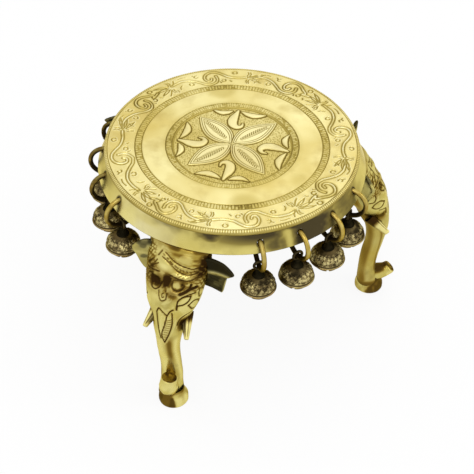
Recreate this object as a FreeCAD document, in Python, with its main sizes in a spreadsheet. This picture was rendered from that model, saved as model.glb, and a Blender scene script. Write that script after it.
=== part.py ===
import FreeCAD, Part
import math
import os

import Sketcher

# Low round brass table on three elephant-head legs, with bells on rings around its rim.
# The origin is the centre of the top, level with its plain ring. X points at the right leg.

doc = FreeCAD.newDocument("low_table")
sizes = doc.addObject("Spreadsheet::Sheet", "sizes")

# Driving dimensions in millimetres, angles in degrees
dimensions = (
    ("overall_height", 128.0),
    ("top_radius", 74.8),
    ("disc_thickness", 3.2),
    ("edge_rounding", 1.1),
    ("medallion_radius", 34.9),
    ("medallion_depth", 0.9),
    ("medallion_ring_width", 4.5),
    ("plain_ring_width", 13.4),
    ("middle_ring_width", 4.5),
    ("edge_ring_width", 2.1),
    ("groove_width", 0.7),
    ("groove_depth", 0.5),
    ("edge_overhang", 1.2),
    ("apron_height", 10.7),
    ("apron_flare", 5.8),
    ("apron_wall", 2.6),
    ("apron_lip_rounding", 0.7),
    ("ledge_thickness", 2.2),
    ("ledge_width", 7.0),
    ("leg_spread", 16.9),
    ("head_half_width", 18.6),
    ("flange_length", 16.0),
    ("flange_half_width", 13.5),
    ("flange_thickness", 3.5),
    ("neck_depth", 7.4),
    ("flange_clearance", 0.9),
    ("boss_radius", 4.6),
    ("screw_radius", 2.0),
    ("screw_half_spacing", 7.5),
    ("screw_setback", 6.4),
    ("screw_bite", 1.4),
    ("screw_head_radius", 3.6),
    ("screw_head_height", 2.3),
    ("screw_slot_width", 0.9),
    ("screw_slot_depth", 1.1),
    ("screw_clearance", 0.15),
    ("thread_clearance", 0.05),
    ("screw_end_gap", 0.3),
    ("tusk_root_radius", 3.3),
    ("tusk_tip_radius", 2.1),
    ("tusk_length", 13.0),
    ("tusk_droop", 41.0),
    ("tusk_splay", 18.0),
    ("trunk_tip_radius", 5.3),
    ("trunk_tip_length", 14.8),
    ("trunk_tip_lift", 24.0),
    ("trunk_tip_height", 10.8),
    ("foot_radius", 9.0),
    ("foot_height", 4.2),
    ("ankle_radius", 6.6),
    ("ankle_height", 5.6),
    ("ear_thickness", 5.0),
    ("wire_radius", 1.4),
    ("ring_radius", 9.4),
    ("ring_gap_angle", 3.0),
    ("hole_depth", 8.0),
    ("hole_clearance", 0.5),
    ("bell_radius", 9.8),
    ("bell_half_height", 7.9),
    ("bell_wall", 1.0),
    ("bell_drop", 15.0),
    ("bell_girdle_drop", 1.0),
    ("bell_girdle_thickness", 0.6),
    ("bell_neck_root_radius", 3.6),
    ("bell_neck_radius", 1.9),
    ("bell_slit_width", 1.3),
    ("bell_slit_half_length", 8.6),
    ("bell_slit_height", 4.4),
    ("eye_wire_radius", 0.85),
    ("eye_clearance", 0.3),
    ("pellet_radius", 2.6),
    ("pellet_gap", 0.25),
    ("overrun", 2.0),
)

# How often things repeat
LEG_COUNT = 3
PENDANTS_PER_GAP = 4
FIRST_PENDANT_ANGLES = (31.5, 34.5, 33.0)
PENDANT_SPACING = 18.0
RING_GAP_TURN = 200.0
SLIT_TURNS = (45.0, 135.0)
LEG_NAMES = ("leg_right", "leg_back", "leg_front")

for row, (word, value) in enumerate(dimensions, 1):
    sizes.set(f"A{row}", word)
    sizes.set(f"B{row}", str(value))
    sizes.setAlias(f"B{row}", word)
doc.recompute()

# Sizes that several pieces share, as expressions on the sheet
APRON_FOOT = "(sizes.disc_thickness + sizes.apron_height)"
WALL_TOP_RADIUS = "(sizes.top_radius - sizes.edge_overhang)"
WALL_FOOT_RADIUS = f"({WALL_TOP_RADIUS} + sizes.apron_flare)"
LEDGE_RADIUS = f"({WALL_TOP_RADIUS} - sizes.apron_wall - sizes.ledge_width)"
SEAT_DEPTH = "(sizes.disc_thickness + sizes.ledge_thickness)"
FLANGE_END = f"({WALL_TOP_RADIUS} - sizes.apron_wall - sizes.flange_clearance)"
SCREW_CIRCLE = f"({LEDGE_RADIUS} - sizes.screw_setback + sizes.flange_clearance)"
HANG_SHARE = "((sizes.hole_depth - sizes.disc_thickness) / sizes.apron_height)"
HANG_RADIUS = f"({WALL_TOP_RADIUS} + sizes.apron_flare * {HANG_SHARE} - sizes.apron_wall / 2)"
RING_DEPTH = "(sizes.hole_depth + sizes.ring_radius)"
EYE_DEPTH = f"({RING_DEPTH} + sizes.ring_radius)"
BELL_DEPTH = f"({EYE_DEPTH} + sizes.bell_drop)"
FOOT_CIRCLE = "(sizes.top_radius + sizes.leg_spread)"

UP = FreeCAD.Vector(0, 0, 1)
ALONG_X = FreeCAD.Vector(1, 0, 0)
ALONG_Y = FreeCAD.Vector(0, 1, 0)
LEVEL = FreeCAD.Rotation()


def number(expression):
    """The present value of an expression on the sheet."""
    result = sizes.evalExpression(expression)
    return float(getattr(result, "Value", result))


def spin(azimuth):
    return FreeCAD.Rotation(UP, azimuth)


def primitive(kind, name, measures, at=("0", "0", "0"), rotation=LEVEL):
    """A solid primitive whose measures and place are expressions."""
    piece = doc.addObject("Part::" + kind, name)
    piece.Placement = FreeCAD.Placement(FreeCAD.Vector(), rotation)
    for measure, expression in measures.items():
        piece.setExpression(measure, expression)
    for axis, expression in zip("xyz", at):
        piece.setExpression("Placement.Base." + axis, expression)
    return piece


def joined(name, pieces):
    whole = doc.addObject("Part::MultiFuse", name)
    whole.Shapes = pieces
    whole.Refine = True
    return whole


def without(name, base, tool):
    rest = doc.addObject("Part::Cut", name)
    rest.Base = base
    rest.Tool = tool
    return rest


def origin_plane(body, role):
    return next(item for item in body.Origin.OriginFeatures if item.Role == role)


def sketch_on(body, name, role):
    sketch = body.newObject("Sketcher::SketchObject", name)
    sketch.AttachmentSupport = [(origin_plane(body, role), "")]
    sketch.MapMode = "FlatFace"
    return sketch


def hold(sketch, edge, point, horizontal, vertical):
    """Holds one point of a sketch at two expressions; zero lies on the axis."""
    for kind, axis, expression in (("DistanceX", -2, horizontal), ("DistanceY", -1, vertical)):
        amount = number(expression)
        if amount == 0:
            sketch.addConstraint(Sketcher.Constraint("PointOnObject", edge, point, axis))
        else:
            index = sketch.addConstraint(Sketcher.Constraint(kind, -1, 1, edge, point, amount))
            sketch.setExpression(f"Constraints[{index}]", expression)


def turned_body(name, corners):
    """A body made by turning a closed profile of (radius, height) corners about Z."""
    body = doc.addObject("PartDesign::Body", name)
    sketch = sketch_on(body, name + "_profile", "XZ_Plane")
    spots = [FreeCAD.Vector(number(across), number(upward), 0) for across, upward in corners]
    for start, end in zip(spots, spots[1:] + spots[:1]):
        sketch.addGeometry(Part.LineSegment(start, end))
    for edge in range(len(corners)):
        following = (edge + 1) % len(corners)
        sketch.addConstraint(Sketcher.Constraint("Coincident", edge, 2, following, 1))
    for edge, (across, upward) in enumerate(corners):
        hold(sketch, edge, 1, across, upward)
    turning = body.newObject("PartDesign::Revolution", name + "_turned")
    turning.Profile = sketch
    turning.ReferenceAxis = (sketch, ["V_Axis"])
    turning.Angle = 360
    sketch.Visibility = False
    doc.recompute()
    return body


def rounded(body, name, radius, rounding, height=None):
    """Rounds the body's circles of one radius, or only the one at a height."""
    turning = body.Tip
    edges = []
    for index, edge in enumerate(turning.Shape.Edges, 1):
        curve = edge.Curve
        if not isinstance(curve, Part.Circle) or not math.isclose(curve.Radius, number(radius)):
            continue
        if height is None or math.isclose(curve.Center.z, number(height)):
            edges.append(f"Edge{index}")
    fillet = body.newObject("PartDesign::Fillet", name)
    fillet.Base = (turning, edges)
    fillet.setExpression("Radius", rounding)
    doc.recompute()


def leg_azimuth(index):
    return index * 360.0 / LEG_COUNT


def screw_places():
    """The two screws of each leg, as (leg azimuth, sideways sign)."""
    return [(leg_azimuth(leg), side) for leg in range(LEG_COUNT) for side in (-1, 1)]


def screw_spot(azimuth, side):
    """A screw's level place: on the leg's line, stepped sideways."""
    sideways = f"({side} * sizes.screw_half_spacing)"
    across = f"{SCREW_CIRCLE} * cos({azimuth}) - {sideways} * sin({azimuth})"
    along = f"{SCREW_CIRCLE} * sin({azimuth}) + {sideways} * cos({azimuth})"
    return across, along


# Top plate: a cast disc with a sunk medallion and grooves that frame its milled rings
def make_top_plate():
    medallion_edge = "(sizes.medallion_radius + sizes.medallion_ring_width)"
    middle_start = f"({medallion_edge} + sizes.plain_ring_width)"
    middle_edge = f"({middle_start} + sizes.middle_ring_width)"
    edge_start = "(sizes.top_radius - sizes.edge_ring_width)"
    corners = [("0", "-sizes.medallion_depth"), ("sizes.medallion_radius", "-sizes.medallion_depth")]
    corners.append(("sizes.medallion_radius", "0"))
    for groove in (medallion_edge, middle_start, middle_edge, edge_start):
        near = f"({groove} - sizes.groove_width / 2)"
        far = f"({groove} + sizes.groove_width / 2)"
        corners += [(near, "0"), (near, "-sizes.groove_depth")]
        corners += [(far, "-sizes.groove_depth"), (far, "0")]
    corners += [("sizes.top_radius", "0"), ("sizes.top_radius", "-sizes.disc_thickness")]
    corners.append(("0", "-sizes.disc_thickness"))
    disc = turned_body("disc", corners)
    rounded(disc, "disc_edge", "sizes.top_radius", "sizes.edge_rounding")
    bosses = []
    holes = []
    for index, (azimuth, side) in enumerate(screw_places(), 1):
        across, along = screw_spot(azimuth, side)
        boss_size = {"Radius": "sizes.boss_radius", "Height": "sizes.ledge_thickness + sizes.groove_depth"}
        bosses.append(primitive("Cylinder", f"boss_{index}", boss_size, (across, along, f"-{SEAT_DEPTH}")))
        hole_size = {
            "Radius": "sizes.screw_radius + sizes.thread_clearance",
            "Height": f"{SEAT_DEPTH} + sizes.overrun - sizes.screw_bite",
        }
        start = f"-{SEAT_DEPTH} - sizes.overrun"
        holes.append(primitive("Cylinder", f"boss_hole_{index}", hole_size, (across, along, start)))
    solid = joined("disc_with_bosses", [disc] + bosses)
    plate = without("top_plate", solid, joined("boss_holes", holes))
    return [plate]


# Apron: a flared cast ring under the top's edge, drilled for the rings
def make_apron():
    wall_foot = f"-{APRON_FOOT}"
    inner_top = f"({WALL_TOP_RADIUS} - sizes.apron_wall)"
    inner_seat = f"({inner_top} + sizes.apron_flare * sizes.ledge_thickness / sizes.apron_height)"
    corners = [
        (LEDGE_RADIUS, "-sizes.disc_thickness"),
        (WALL_TOP_RADIUS, "-sizes.disc_thickness"),
        (WALL_FOOT_RADIUS, wall_foot),
        (f"({WALL_FOOT_RADIUS} - sizes.apron_wall)", wall_foot),
        (inner_seat, f"-{SEAT_DEPTH}"),
        (LEDGE_RADIUS, f"-{SEAT_DEPTH}"),
    ]
    wall = turned_body("apron_wall_ring", corners)
    rounded(wall, "apron_lip", WALL_FOOT_RADIUS, "sizes.apron_lip_rounding", wall_foot)
    holes = []
    for index, azimuth in enumerate(pendant_azimuths(), 1):
        start = f"({HANG_RADIUS} - sizes.apron_wall - sizes.overrun)"
        size = {
            "Radius": "sizes.wire_radius + sizes.hole_clearance",
            "Height": "2 * (sizes.apron_wall + sizes.overrun)",
        }
        place = (f"{start} * cos({azimuth})", f"{start} * sin({azimuth})", "-sizes.hole_depth")
        outward = spin(azimuth).multiply(FreeCAD.Rotation(ALONG_Y, 90))
        holes.append(primitive("Cylinder", f"ring_hole_{index}", size, place, outward))
    return [without("apron_ring", wall, joined("ring_holes", holes))]


# Leg casting: level sections from under the apron down to the ankle.
# Each row: depth as a share of the drop below the apron, the inner and outer faces as
# shares of the leg's spread beyond the top's edge, and the half width as a share of the head's.
leg_section_shares = (
    (0.000, -0.680, 0.262, 0.968),
    (0.088, -0.600, 0.615, 1.000),
    (0.167, -0.450, 0.959, 0.968),
    (0.260, -0.225, 1.207, 0.839),
    (0.334, 0.041, 1.314, 0.710),
    (0.421, 0.308, 1.420, 0.538),
    (0.492, 0.544, 1.450, 0.414),
    (0.562, 0.663, 1.444, 0.349),
    (0.645, 0.675, 1.325, 0.333),
    (0.728, 0.592, 1.213, 0.336),
    (0.807, 0.538, 1.172, 0.346),
    (0.886, 0.521, 1.254, 0.355),
    (0.947, 0.515, 1.373, 0.403),
)
# How square a section's corners are, and how many points carry it
section_squareness_share = 0.86
section_point_count = 12

# Ears: centre as shares (outward of the top's edge by the spread, sideways by the head's
# half width, depth by the drop), then half sizes as shares of the head's half width, then tilts
ear_shares = {
    "broad_ear": (0.14, 1.24, 0.122, 0.70, 0.57, -14.0, 12.0),
    "folded_ear": (0.10, -0.92, 0.130, 0.48, 0.50, 18.0, -10.0),
}
# Tusk root: outward share of the spread, sideways share of the head, depth share of the drop
tusk_root_shares = (0.633, 0.516, 0.391)
trunk_tip_taper_share = 0.72


def section_wire(centre, half_depth, half_width, height):
    """A closed smooth curve round one level section, a softly squared oval."""
    spots = []
    for step in range(section_point_count):
        angle = 2 * math.pi * step / section_point_count
        across = math.copysign(abs(math.cos(angle)) ** section_squareness_share, math.cos(angle))
        sideways = math.copysign(abs(math.sin(angle)) ** section_squareness_share, math.sin(angle))
        spots.append(FreeCAD.Vector(centre + half_depth * across, half_width * sideways, height))
    curve = Part.BSplineCurve()
    curve.interpolate(Points=spots, PeriodicFlag=True)
    return Part.Wire([curve.toShape()])


def head_and_trunk(name):
    """The leg's main form, lofted through its sections."""
    drop = number(f"sizes.overall_height - {APRON_FOOT}")
    wires = []
    for depth_share, inner_share, outer_share, width_share in leg_section_shares:
        inner = number("sizes.top_radius") + inner_share * number("sizes.leg_spread")
        outer = number("sizes.top_radius") + outer_share * number("sizes.leg_spread")
        half_width = width_share * number("sizes.head_half_width")
        height = -number(APRON_FOOT) - depth_share * drop
        wires.append(section_wire((inner + outer) / 2, (outer - inner) / 2, half_width, height))
    form = doc.addObject("Part::Feature", name)
    form.Shape = Part.makeLoft(wires, True, False)
    return form


def make_leg(label, azimuth):
    drop = f"(sizes.overall_height - {APRON_FOOT})"
    pieces = [head_and_trunk(label + "_casting")]
    flange_start = f"({FLANGE_END} - sizes.flange_length)"
    flange_bottom = f"(-{SEAT_DEPTH} - sizes.flange_thickness)"
    flange = {
        "Length": "sizes.flange_length",
        "Width": "2 * sizes.flange_half_width",
        "Height": "sizes.flange_thickness",
    }
    flange_at = (flange_start, "-sizes.flange_half_width", flange_bottom)
    pieces.append(primitive("Box", label + "_flange", flange, flange_at))
    neck = {
        "Length": "sizes.neck_depth",
        "Width": "2 * sizes.flange_half_width",
        "Height": f"{APRON_FOOT} + sizes.overrun - {SEAT_DEPTH}",
    }
    neck_at = (
        f"{FLANGE_END} - sizes.neck_depth",
        "-sizes.flange_half_width",
        f"-{APRON_FOOT} - sizes.overrun",
    )
    pieces.append(primitive("Box", label + "_neck", neck, neck_at))
    for ear, (out, side, down, wide, tall, yaw, lean) in ear_shares.items():
        size = {
            "Radius1": f"sizes.head_half_width * {tall}",
            "Radius2": "sizes.ear_thickness / 2",
            "Radius3": f"sizes.head_half_width * {wide}",
        }
        at = (
            f"sizes.top_radius + sizes.leg_spread * {out}",
            f"sizes.head_half_width * {side}",
            f"-{APRON_FOOT} - {drop} * {down}",
        )
        turn = FreeCAD.Rotation(UP, yaw).multiply(FreeCAD.Rotation(ALONG_X, lean))
        pieces.append(primitive("Ellipsoid", f"{label}_{ear}", size, at, turn))
    out, side, down = tusk_root_shares
    for sign, word in ((-1, "left"), (1, "right")):
        size = {
            "Radius1": "sizes.tusk_root_radius",
            "Radius2": "sizes.tusk_tip_radius",
            "Height": "sizes.tusk_length",
        }
        at = (
            f"sizes.top_radius + sizes.leg_spread * {out}",
            f"sizes.head_half_width * {sign * side}",
            f"-{APRON_FOOT} - {drop} * {down}",
        )
        yaw = FreeCAD.Rotation(UP, sign * number("sizes.tusk_splay"))
        pitch = FreeCAD.Rotation(ALONG_Y, 90 + number("sizes.tusk_droop"))
        tusk_turn = yaw.multiply(pitch)
        pieces.append(primitive("Cone", f"{label}_{word}_tusk", size, at, tusk_turn))
        reach = tusk_turn.multVec(UP)
        tip_at = [f"{base} + sizes.tusk_length * {step}" for base, step in zip(at, reach)]
        tip_size = {"Radius": "sizes.tusk_tip_radius"}
        pieces.append(primitive("Sphere", f"{label}_{word}_tusk_tip", tip_size, tip_at))
    curl_turn = FreeCAD.Rotation(ALONG_Y, 90 - number("sizes.trunk_tip_lift"))
    curl_at = (FOOT_CIRCLE, "0", "-sizes.overall_height + sizes.trunk_tip_height")
    curl_size = {
        "Radius1": "sizes.trunk_tip_radius",
        "Radius2": f"sizes.trunk_tip_radius * {trunk_tip_taper_share}",
        "Height": "sizes.trunk_tip_length",
    }
    pieces.append(primitive("Cone", label + "_trunk_tip", curl_size, curl_at, curl_turn))
    sole = {"Radius": "sizes.foot_radius", "Height": "sizes.foot_height"}
    pieces.append(primitive("Cylinder", label + "_sole", sole, (FOOT_CIRCLE, "0", "-sizes.overall_height")))
    ankle = {
        "Radius1": "sizes.foot_radius",
        "Radius2": "sizes.ankle_radius",
        "Height": "sizes.ankle_height",
    }
    ankle_at = (FOOT_CIRCLE, "0", "-sizes.overall_height + sizes.foot_height")
    pieces.append(primitive("Cone", label + "_ankle", ankle, ankle_at))
    holes = []
    for side in (-1, 1):
        size = {
            "Radius": "sizes.screw_radius + sizes.screw_clearance",
            "Height": "sizes.flange_thickness + 2 * sizes.overrun",
        }
        at = (SCREW_CIRCLE, f"{side} * sizes.screw_half_spacing", f"{flange_bottom} - sizes.overrun")
        holes.append(primitive("Cylinder", f"{label}_screw_hole_{side + 2}", size, at))
    solid = joined(label + "_solid", pieces)
    leg = without(label, solid, joined(label + "_screw_holes", holes))
    leg.Placement = FreeCAD.Placement(FreeCAD.Vector(), spin(azimuth))
    return leg


# Leg screws: six slotted screws from below, through each leg's flange into the top's bosses
def make_screws():
    screws = []
    for index, (azimuth, side) in enumerate(screw_places(), 1):
        name = f"leg_screw_{index}"
        across, along = screw_spot(azimuth, side)
        under_flange = f"(-{SEAT_DEPTH} - sizes.flange_thickness)"
        shank = {
            "Radius": "sizes.screw_radius",
            "Height": f"sizes.flange_thickness + {SEAT_DEPTH} - sizes.screw_bite - sizes.screw_end_gap",
        }
        head = {"Radius": "sizes.screw_head_radius", "Height": "sizes.screw_head_height"}
        head_bottom = f"{under_flange} - sizes.screw_head_height"
        slot = {
            "Length": "2 * (sizes.screw_head_radius + sizes.overrun)",
            "Width": "sizes.screw_slot_width",
            "Height": "sizes.screw_slot_depth + sizes.overrun",
        }
        slot_at = (
            f"{across} - sizes.screw_head_radius - sizes.overrun",
            f"{along} - sizes.screw_slot_width / 2",
            f"{head_bottom} - sizes.overrun",
        )
        stem = primitive("Cylinder", name + "_shank", shank, (across, along, under_flange))
        cap = primitive("Cylinder", name + "_head", head, (across, along, head_bottom))
        groove = primitive("Box", name + "_slot", slot, slot_at)
        screws.append(without(name, joined(name + "_blank", [stem, cap]), groove))
    group = doc.addObject("Part::Compound", "leg_screws")
    group.Links = screws
    return group


def pendant_azimuths():
    """Where the rings hang: evenly spaced in each gap, clockwise from a leg."""
    places = []
    for leg, first_angle in enumerate(FIRST_PENDANT_ANGLES):
        for step in range(PENDANTS_PER_GAP):
            places.append(-leg_azimuth(leg) - first_angle - PENDANT_SPACING * step)
    return places


# Ring: bent brass wire through the apron's hole, butted where its ends meet
def make_ring(label, azimuth):
    ring = {
        "Radius1": "sizes.ring_radius",
        "Radius2": "sizes.wire_radius",
        "Angle3": "360 - sizes.ring_gap_angle",
    }
    at = (f"{HANG_RADIUS} * cos({azimuth})", f"{HANG_RADIUS} * sin({azimuth})", f"-{RING_DEPTH}")
    upright = FreeCAD.Rotation(ALONG_X, 90).multiply(FreeCAD.Rotation(UP, RING_GAP_TURN))
    return primitive("Torus", label, ring, at, spin(azimuth).multiply(upright))


# Bell: one casting with its eye, neck, girdle and crossed slits, hollow for the pellet
def make_bell(label, azimuth):
    centre = (HANG_RADIUS, "0", f"-{BELL_DEPTH}")
    outer = {
        "Radius1": "sizes.bell_half_height",
        "Radius2": "sizes.bell_radius",
        "Radius3": "sizes.bell_radius",
    }
    hollow = {
        "Radius1": "sizes.bell_half_height - sizes.bell_wall",
        "Radius2": "sizes.bell_radius - sizes.bell_wall",
        "Radius3": "sizes.bell_radius - sizes.bell_wall",
    }
    girdle_level = "sizes.bell_girdle_drop / sizes.bell_half_height"
    girdle = {
        "Radius1": f"sizes.bell_radius * sqrt(1 - ({girdle_level}) ^ 2)",
        "Radius2": "sizes.bell_girdle_thickness",
    }
    girdle_at = (HANG_RADIUS, "0", f"-{BELL_DEPTH} - sizes.bell_girdle_drop")
    eye_radius = "(sizes.wire_radius + sizes.eye_clearance + sizes.eye_wire_radius)"
    neck_bottom = f"(-{BELL_DEPTH} + sizes.bell_half_height - sizes.bell_wall / 2)"
    neck = {
        "Radius1": "sizes.bell_neck_root_radius",
        "Radius2": "sizes.bell_neck_radius",
        "Height": f"-{EYE_DEPTH} - {eye_radius} - {neck_bottom}",
    }
    eye = {"Radius1": eye_radius, "Radius2": "sizes.eye_wire_radius"}
    facing_out = FreeCAD.Rotation(ALONG_Y, 90)
    outside = [
        primitive("Ellipsoid", label + "_outside", outer, centre),
        primitive("Torus", label + "_girdle", girdle, girdle_at),
        primitive("Cone", label + "_neck", neck, (HANG_RADIUS, "0", neck_bottom)),
        primitive("Torus", label + "_eye", eye, (HANG_RADIUS, "0", f"-{EYE_DEPTH}"), facing_out),
    ]
    inside = [primitive("Ellipsoid", label + "_inside", hollow, centre)]
    slit_top = f"(-{BELL_DEPTH} - sizes.bell_half_height + sizes.bell_slit_height)"
    slit_bottom = f"({slit_top} - sizes.bell_slit_height - sizes.overrun)"
    for slit_index, turn in enumerate(SLIT_TURNS, 1):
        slit = {
            "Length": "2 * sizes.bell_slit_half_length",
            "Width": "sizes.bell_slit_width",
            "Height": "sizes.bell_slit_height + sizes.overrun",
        }
        corner = (
            f"{HANG_RADIUS} - sizes.bell_slit_half_length * cos({turn})"
            f" + sizes.bell_slit_width / 2 * sin({turn})",
            f"-sizes.bell_slit_half_length * sin({turn}) - sizes.bell_slit_width / 2 * cos({turn})",
            slit_bottom,
        )
        inside.append(primitive("Box", f"{label}_slit_{slit_index}", slit, corner, spin(turn)))
    bell = without(label, joined(label + "_solid", outside), joined(label + "_hollow", inside))
    bell.Placement = FreeCAD.Placement(FreeCAD.Vector(), spin(azimuth))
    return bell


# Pellet: the loose ball that rings inside a bell
def make_pellet(label, azimuth):
    floor = f"(-{BELL_DEPTH} - sizes.bell_half_height + sizes.bell_wall)"
    at = (
        f"{HANG_RADIUS} * cos({azimuth})",
        f"{HANG_RADIUS} * sin({azimuth})",
        f"{floor} + sizes.pellet_radius + sizes.pellet_gap",
    )
    return primitive("Sphere", label, {"Radius": "sizes.pellet_radius"}, at)


subparts = make_top_plate() + make_apron()
for leg_index, leg_name in enumerate(LEG_NAMES):
    subparts.append(make_leg(leg_name, leg_azimuth(leg_index)))
subparts.append(make_screws())
for pendant, pendant_azimuth in enumerate(pendant_azimuths(), 1):
    subparts.append(make_ring(f"ring_{pendant:02d}", pendant_azimuth))
    subparts.append(make_bell(f"bell_{pendant:02d}", pendant_azimuth))
    subparts.append(make_pellet(f"pellet_{pendant:02d}", pendant_azimuth))
doc.recompute()

for item in doc.Objects:
    if "Invalid" in item.State or "Error" in item.State:
        raise RuntimeError(f"{item.Label} failed: {item.State}")
for piece in subparts:
    if piece.Shape.isNull() or not piece.Shape.isValid():
        raise RuntimeError(f"{piece.Label} has no valid shape")

os.makedirs("parts", exist_ok=True)
for piece in subparts:
    piece.Shape.exportStep(os.path.join("parts", piece.Label + ".step"))
print(len(subparts), "sub-parts written")
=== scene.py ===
import math

import bpy
import numpy as np
from mathutils import Matrix


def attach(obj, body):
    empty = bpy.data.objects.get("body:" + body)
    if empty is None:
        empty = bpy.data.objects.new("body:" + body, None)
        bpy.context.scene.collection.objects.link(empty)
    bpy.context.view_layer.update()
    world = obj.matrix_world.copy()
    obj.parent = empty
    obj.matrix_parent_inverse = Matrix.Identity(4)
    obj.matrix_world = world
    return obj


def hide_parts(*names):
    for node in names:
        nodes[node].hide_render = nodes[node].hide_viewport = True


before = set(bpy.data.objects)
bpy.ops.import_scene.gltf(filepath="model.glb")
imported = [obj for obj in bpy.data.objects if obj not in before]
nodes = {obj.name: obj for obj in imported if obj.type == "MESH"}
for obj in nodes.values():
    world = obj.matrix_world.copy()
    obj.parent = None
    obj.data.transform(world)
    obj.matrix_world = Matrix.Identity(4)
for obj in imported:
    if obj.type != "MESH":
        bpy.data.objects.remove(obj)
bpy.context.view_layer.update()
mm = 0.001
print("frame loaded:", len(nodes), "nodes")

# The camera stands where the photograph was taken from, in mm from the middle of the top.
view = {
    "place": (-78.69, -581.97, 484.8),
    "turn": -8.066,
    "tilt": 46.37,
    "roll": 1.091,
    "lens": 98.73,
}


def makeCamera():
    data = bpy.data.cameras.new("tableCamera")
    data.lens = view["lens"]
    data.sensor_width = 36.0
    data.clip_start = 0.05
    data.clip_end = 20.0
    camera = bpy.data.objects.new("tableCamera", data)
    bpy.context.scene.collection.objects.link(camera)
    aim = (
        Matrix.Rotation(math.radians(view["turn"]), 4, "Z")
        @ Matrix.Rotation(math.radians(view["tilt"]), 4, "X")
        @ Matrix.Rotation(math.radians(view["roll"]), 4, "Z")
    )
    camera.matrix_world = Matrix.Translation([v * mm for v in view["place"]]) @ aim
    bpy.context.scene.camera = camera


makeCamera()
print("camera placed")


# Measures shared by several pieces, in mm and degrees
table = {
    "topRadius": 74.8,
    "plateThickness": 3.2,
    "wallTop": 73.6,
    "wallFoot": 79.4,
    "wallThickness": 2.6,
    "apronFoot": -13.9,
    "floor": -128.0,
    "legAzimuths": {"leg_right": 0.0, "leg_back": 120.0, "leg_front": -120.0},
    "firstPendants": (31.5, 34.5, 33.0),
    "pendantStep": 18.0,
    "hangRadius": 74.902,
    "ringDepth": -17.4,
    "eyeDepth": -26.8,
    "bellDepth": -41.8,
}
# Azimuths of the rings and bells: four in each gap between two legs
pendants = [
    -120.0 * gap - first - table["pendantStep"] * step
    for gap, first in enumerate(table["firstPendants"])
    for step in range(4)
]


# A value between 0 and 1 that rises smoothly from low to high.
def ramp(low, high, value):
    share = np.clip((value - low) / (high - low), 0.0, 1.0)
    return share * share * (3.0 - 2.0 * share)


# A soft hump, 1 at its middle, that fades as a bell curve.
def hump(value, middle, spread):
    return np.exp(-(((value - middle) / spread) ** 2))


# A soft hill over two measures, 1 at its middle.
def hill(across, up, middleAcross, middleUp, spreadAcross, spreadUp):
    return np.exp(-(((across - middleAcross) / spreadAcross) ** 2) - ((up - middleUp) / spreadUp) ** 2)


# A power that keeps the sign, which squares an oval softly.
def signedPower(value, power):
    return np.sign(value) * np.abs(value) ** power


# Evenly spaced angles once round.
def roundAngles(count):
    return np.linspace(0.0, 2 * math.pi, count, endpoint=False)


# An angle brought to within half a turn of zero.
def signedTurn(angle, half=math.pi):
    return (angle + half) % (2 * half) - half


# Distances along and across a direction given by its azimuth.
def alongAcross(x, y, azimuth):
    c, s = math.cos(math.radians(azimuth)), math.sin(math.radians(azimuth))
    return x * c + y * s, -x * s + y * c


# How far along a line each of its points lies.
def runAlong(line):
    return np.concatenate([[0.0], np.cumsum(np.linalg.norm(np.diff(line, axis=0), axis=1))])


# How far a bar draws in near its end, as a quarter round.
def roundedEnd(run, length, rounding):
    fall = np.clip((run - (length - rounding)) / rounding, 0, 1)
    return rounding * (1 - np.sqrt(np.clip(1 - fall**2, 0, 1)))


# Repeatable random numbers, one for each whole-number cell.
def cellRandom(cells, seed):
    mix = cells[..., 0] * 73856093 ^ cells[..., 1] * 19349663 ^ cells[..., 2] * 83492791 ^ (seed * 2654435 + 977)
    mix = (mix ^ (mix >> 13)) * 1274126177
    return ((mix ^ (mix >> 16)) & 0xFFFFFF) / float(0x1000000)


# Soft clouds between 0 and 1: random values at the corners of cubes of the given size, blended smoothly.
def clouds(points, size, seed):
    scaled = points / size
    cell = np.floor(scaled).astype(np.int64)
    part = scaled - cell
    part = part * part * (3.0 - 2.0 * part)
    total = np.zeros(points.shape[:-1])
    for corner in range(8):
        step = np.array([corner & 1, corner >> 1 & 1, corner >> 2 & 1])
        weight = np.prod(np.where(step, part, 1.0 - part), axis=-1)
        total += weight * cellRandom(cell + step, seed)
    return total


# Distance to the nearest of points scattered one to each square cell, that point's random number, and the way to it.
def scatter(across, along, size, seed):
    cellA, cellB = np.floor(across / size), np.floor(along / size)
    nearest = np.full(across.shape, 1e9)
    mark = np.zeros(across.shape)
    offset = np.zeros(across.shape + (2,))
    for stepA in (-1, 0, 1):
        for stepB in (-1, 0, 1):
            cells = np.stack([cellA + stepA, cellB + stepB, 0 * cellA], -1).astype(np.int64)
            awayA = (cells[..., 0] + 0.2 + 0.6 * cellRandom(cells, seed)) * size - across
            awayB = (cells[..., 1] + 0.2 + 0.6 * cellRandom(cells, seed + 1)) * size - along
            distance = np.hypot(awayA, awayB)
            closer = distance < nearest
            nearest = np.where(closer, distance, nearest)
            mark = np.where(closer, cellRandom(cells, seed + 2), mark)
            offset = np.where(closer[..., None], np.stack([awayA, awayB], -1), offset)
    return nearest, mark, offset


# A smooth curve through rows of numbers: each stretch is a cubic whose slopes come from the neighbours.
def smoothThrough(knots, values, at):
    knots, values = np.asarray(knots, float), np.asarray(values, float)
    slopes = np.gradient(values, knots, axis=0)
    place = np.clip(np.searchsorted(knots, at, side="right") - 1, 0, len(knots) - 2)
    span = knots[place + 1] - knots[place]
    share = (at - knots[place]) / span
    if values.ndim > 1:
        share, span = share[:, None], span[:, None]
    return (
        (2 * share**3 - 3 * share**2 + 1) * values[place]
        + (share**3 - 2 * share**2 + share) * span * slopes[place]
        + (3 * share**2 - 2 * share**3) * values[place + 1]
        + (share**3 - share**2) * span * slopes[place + 1]
    )


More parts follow.
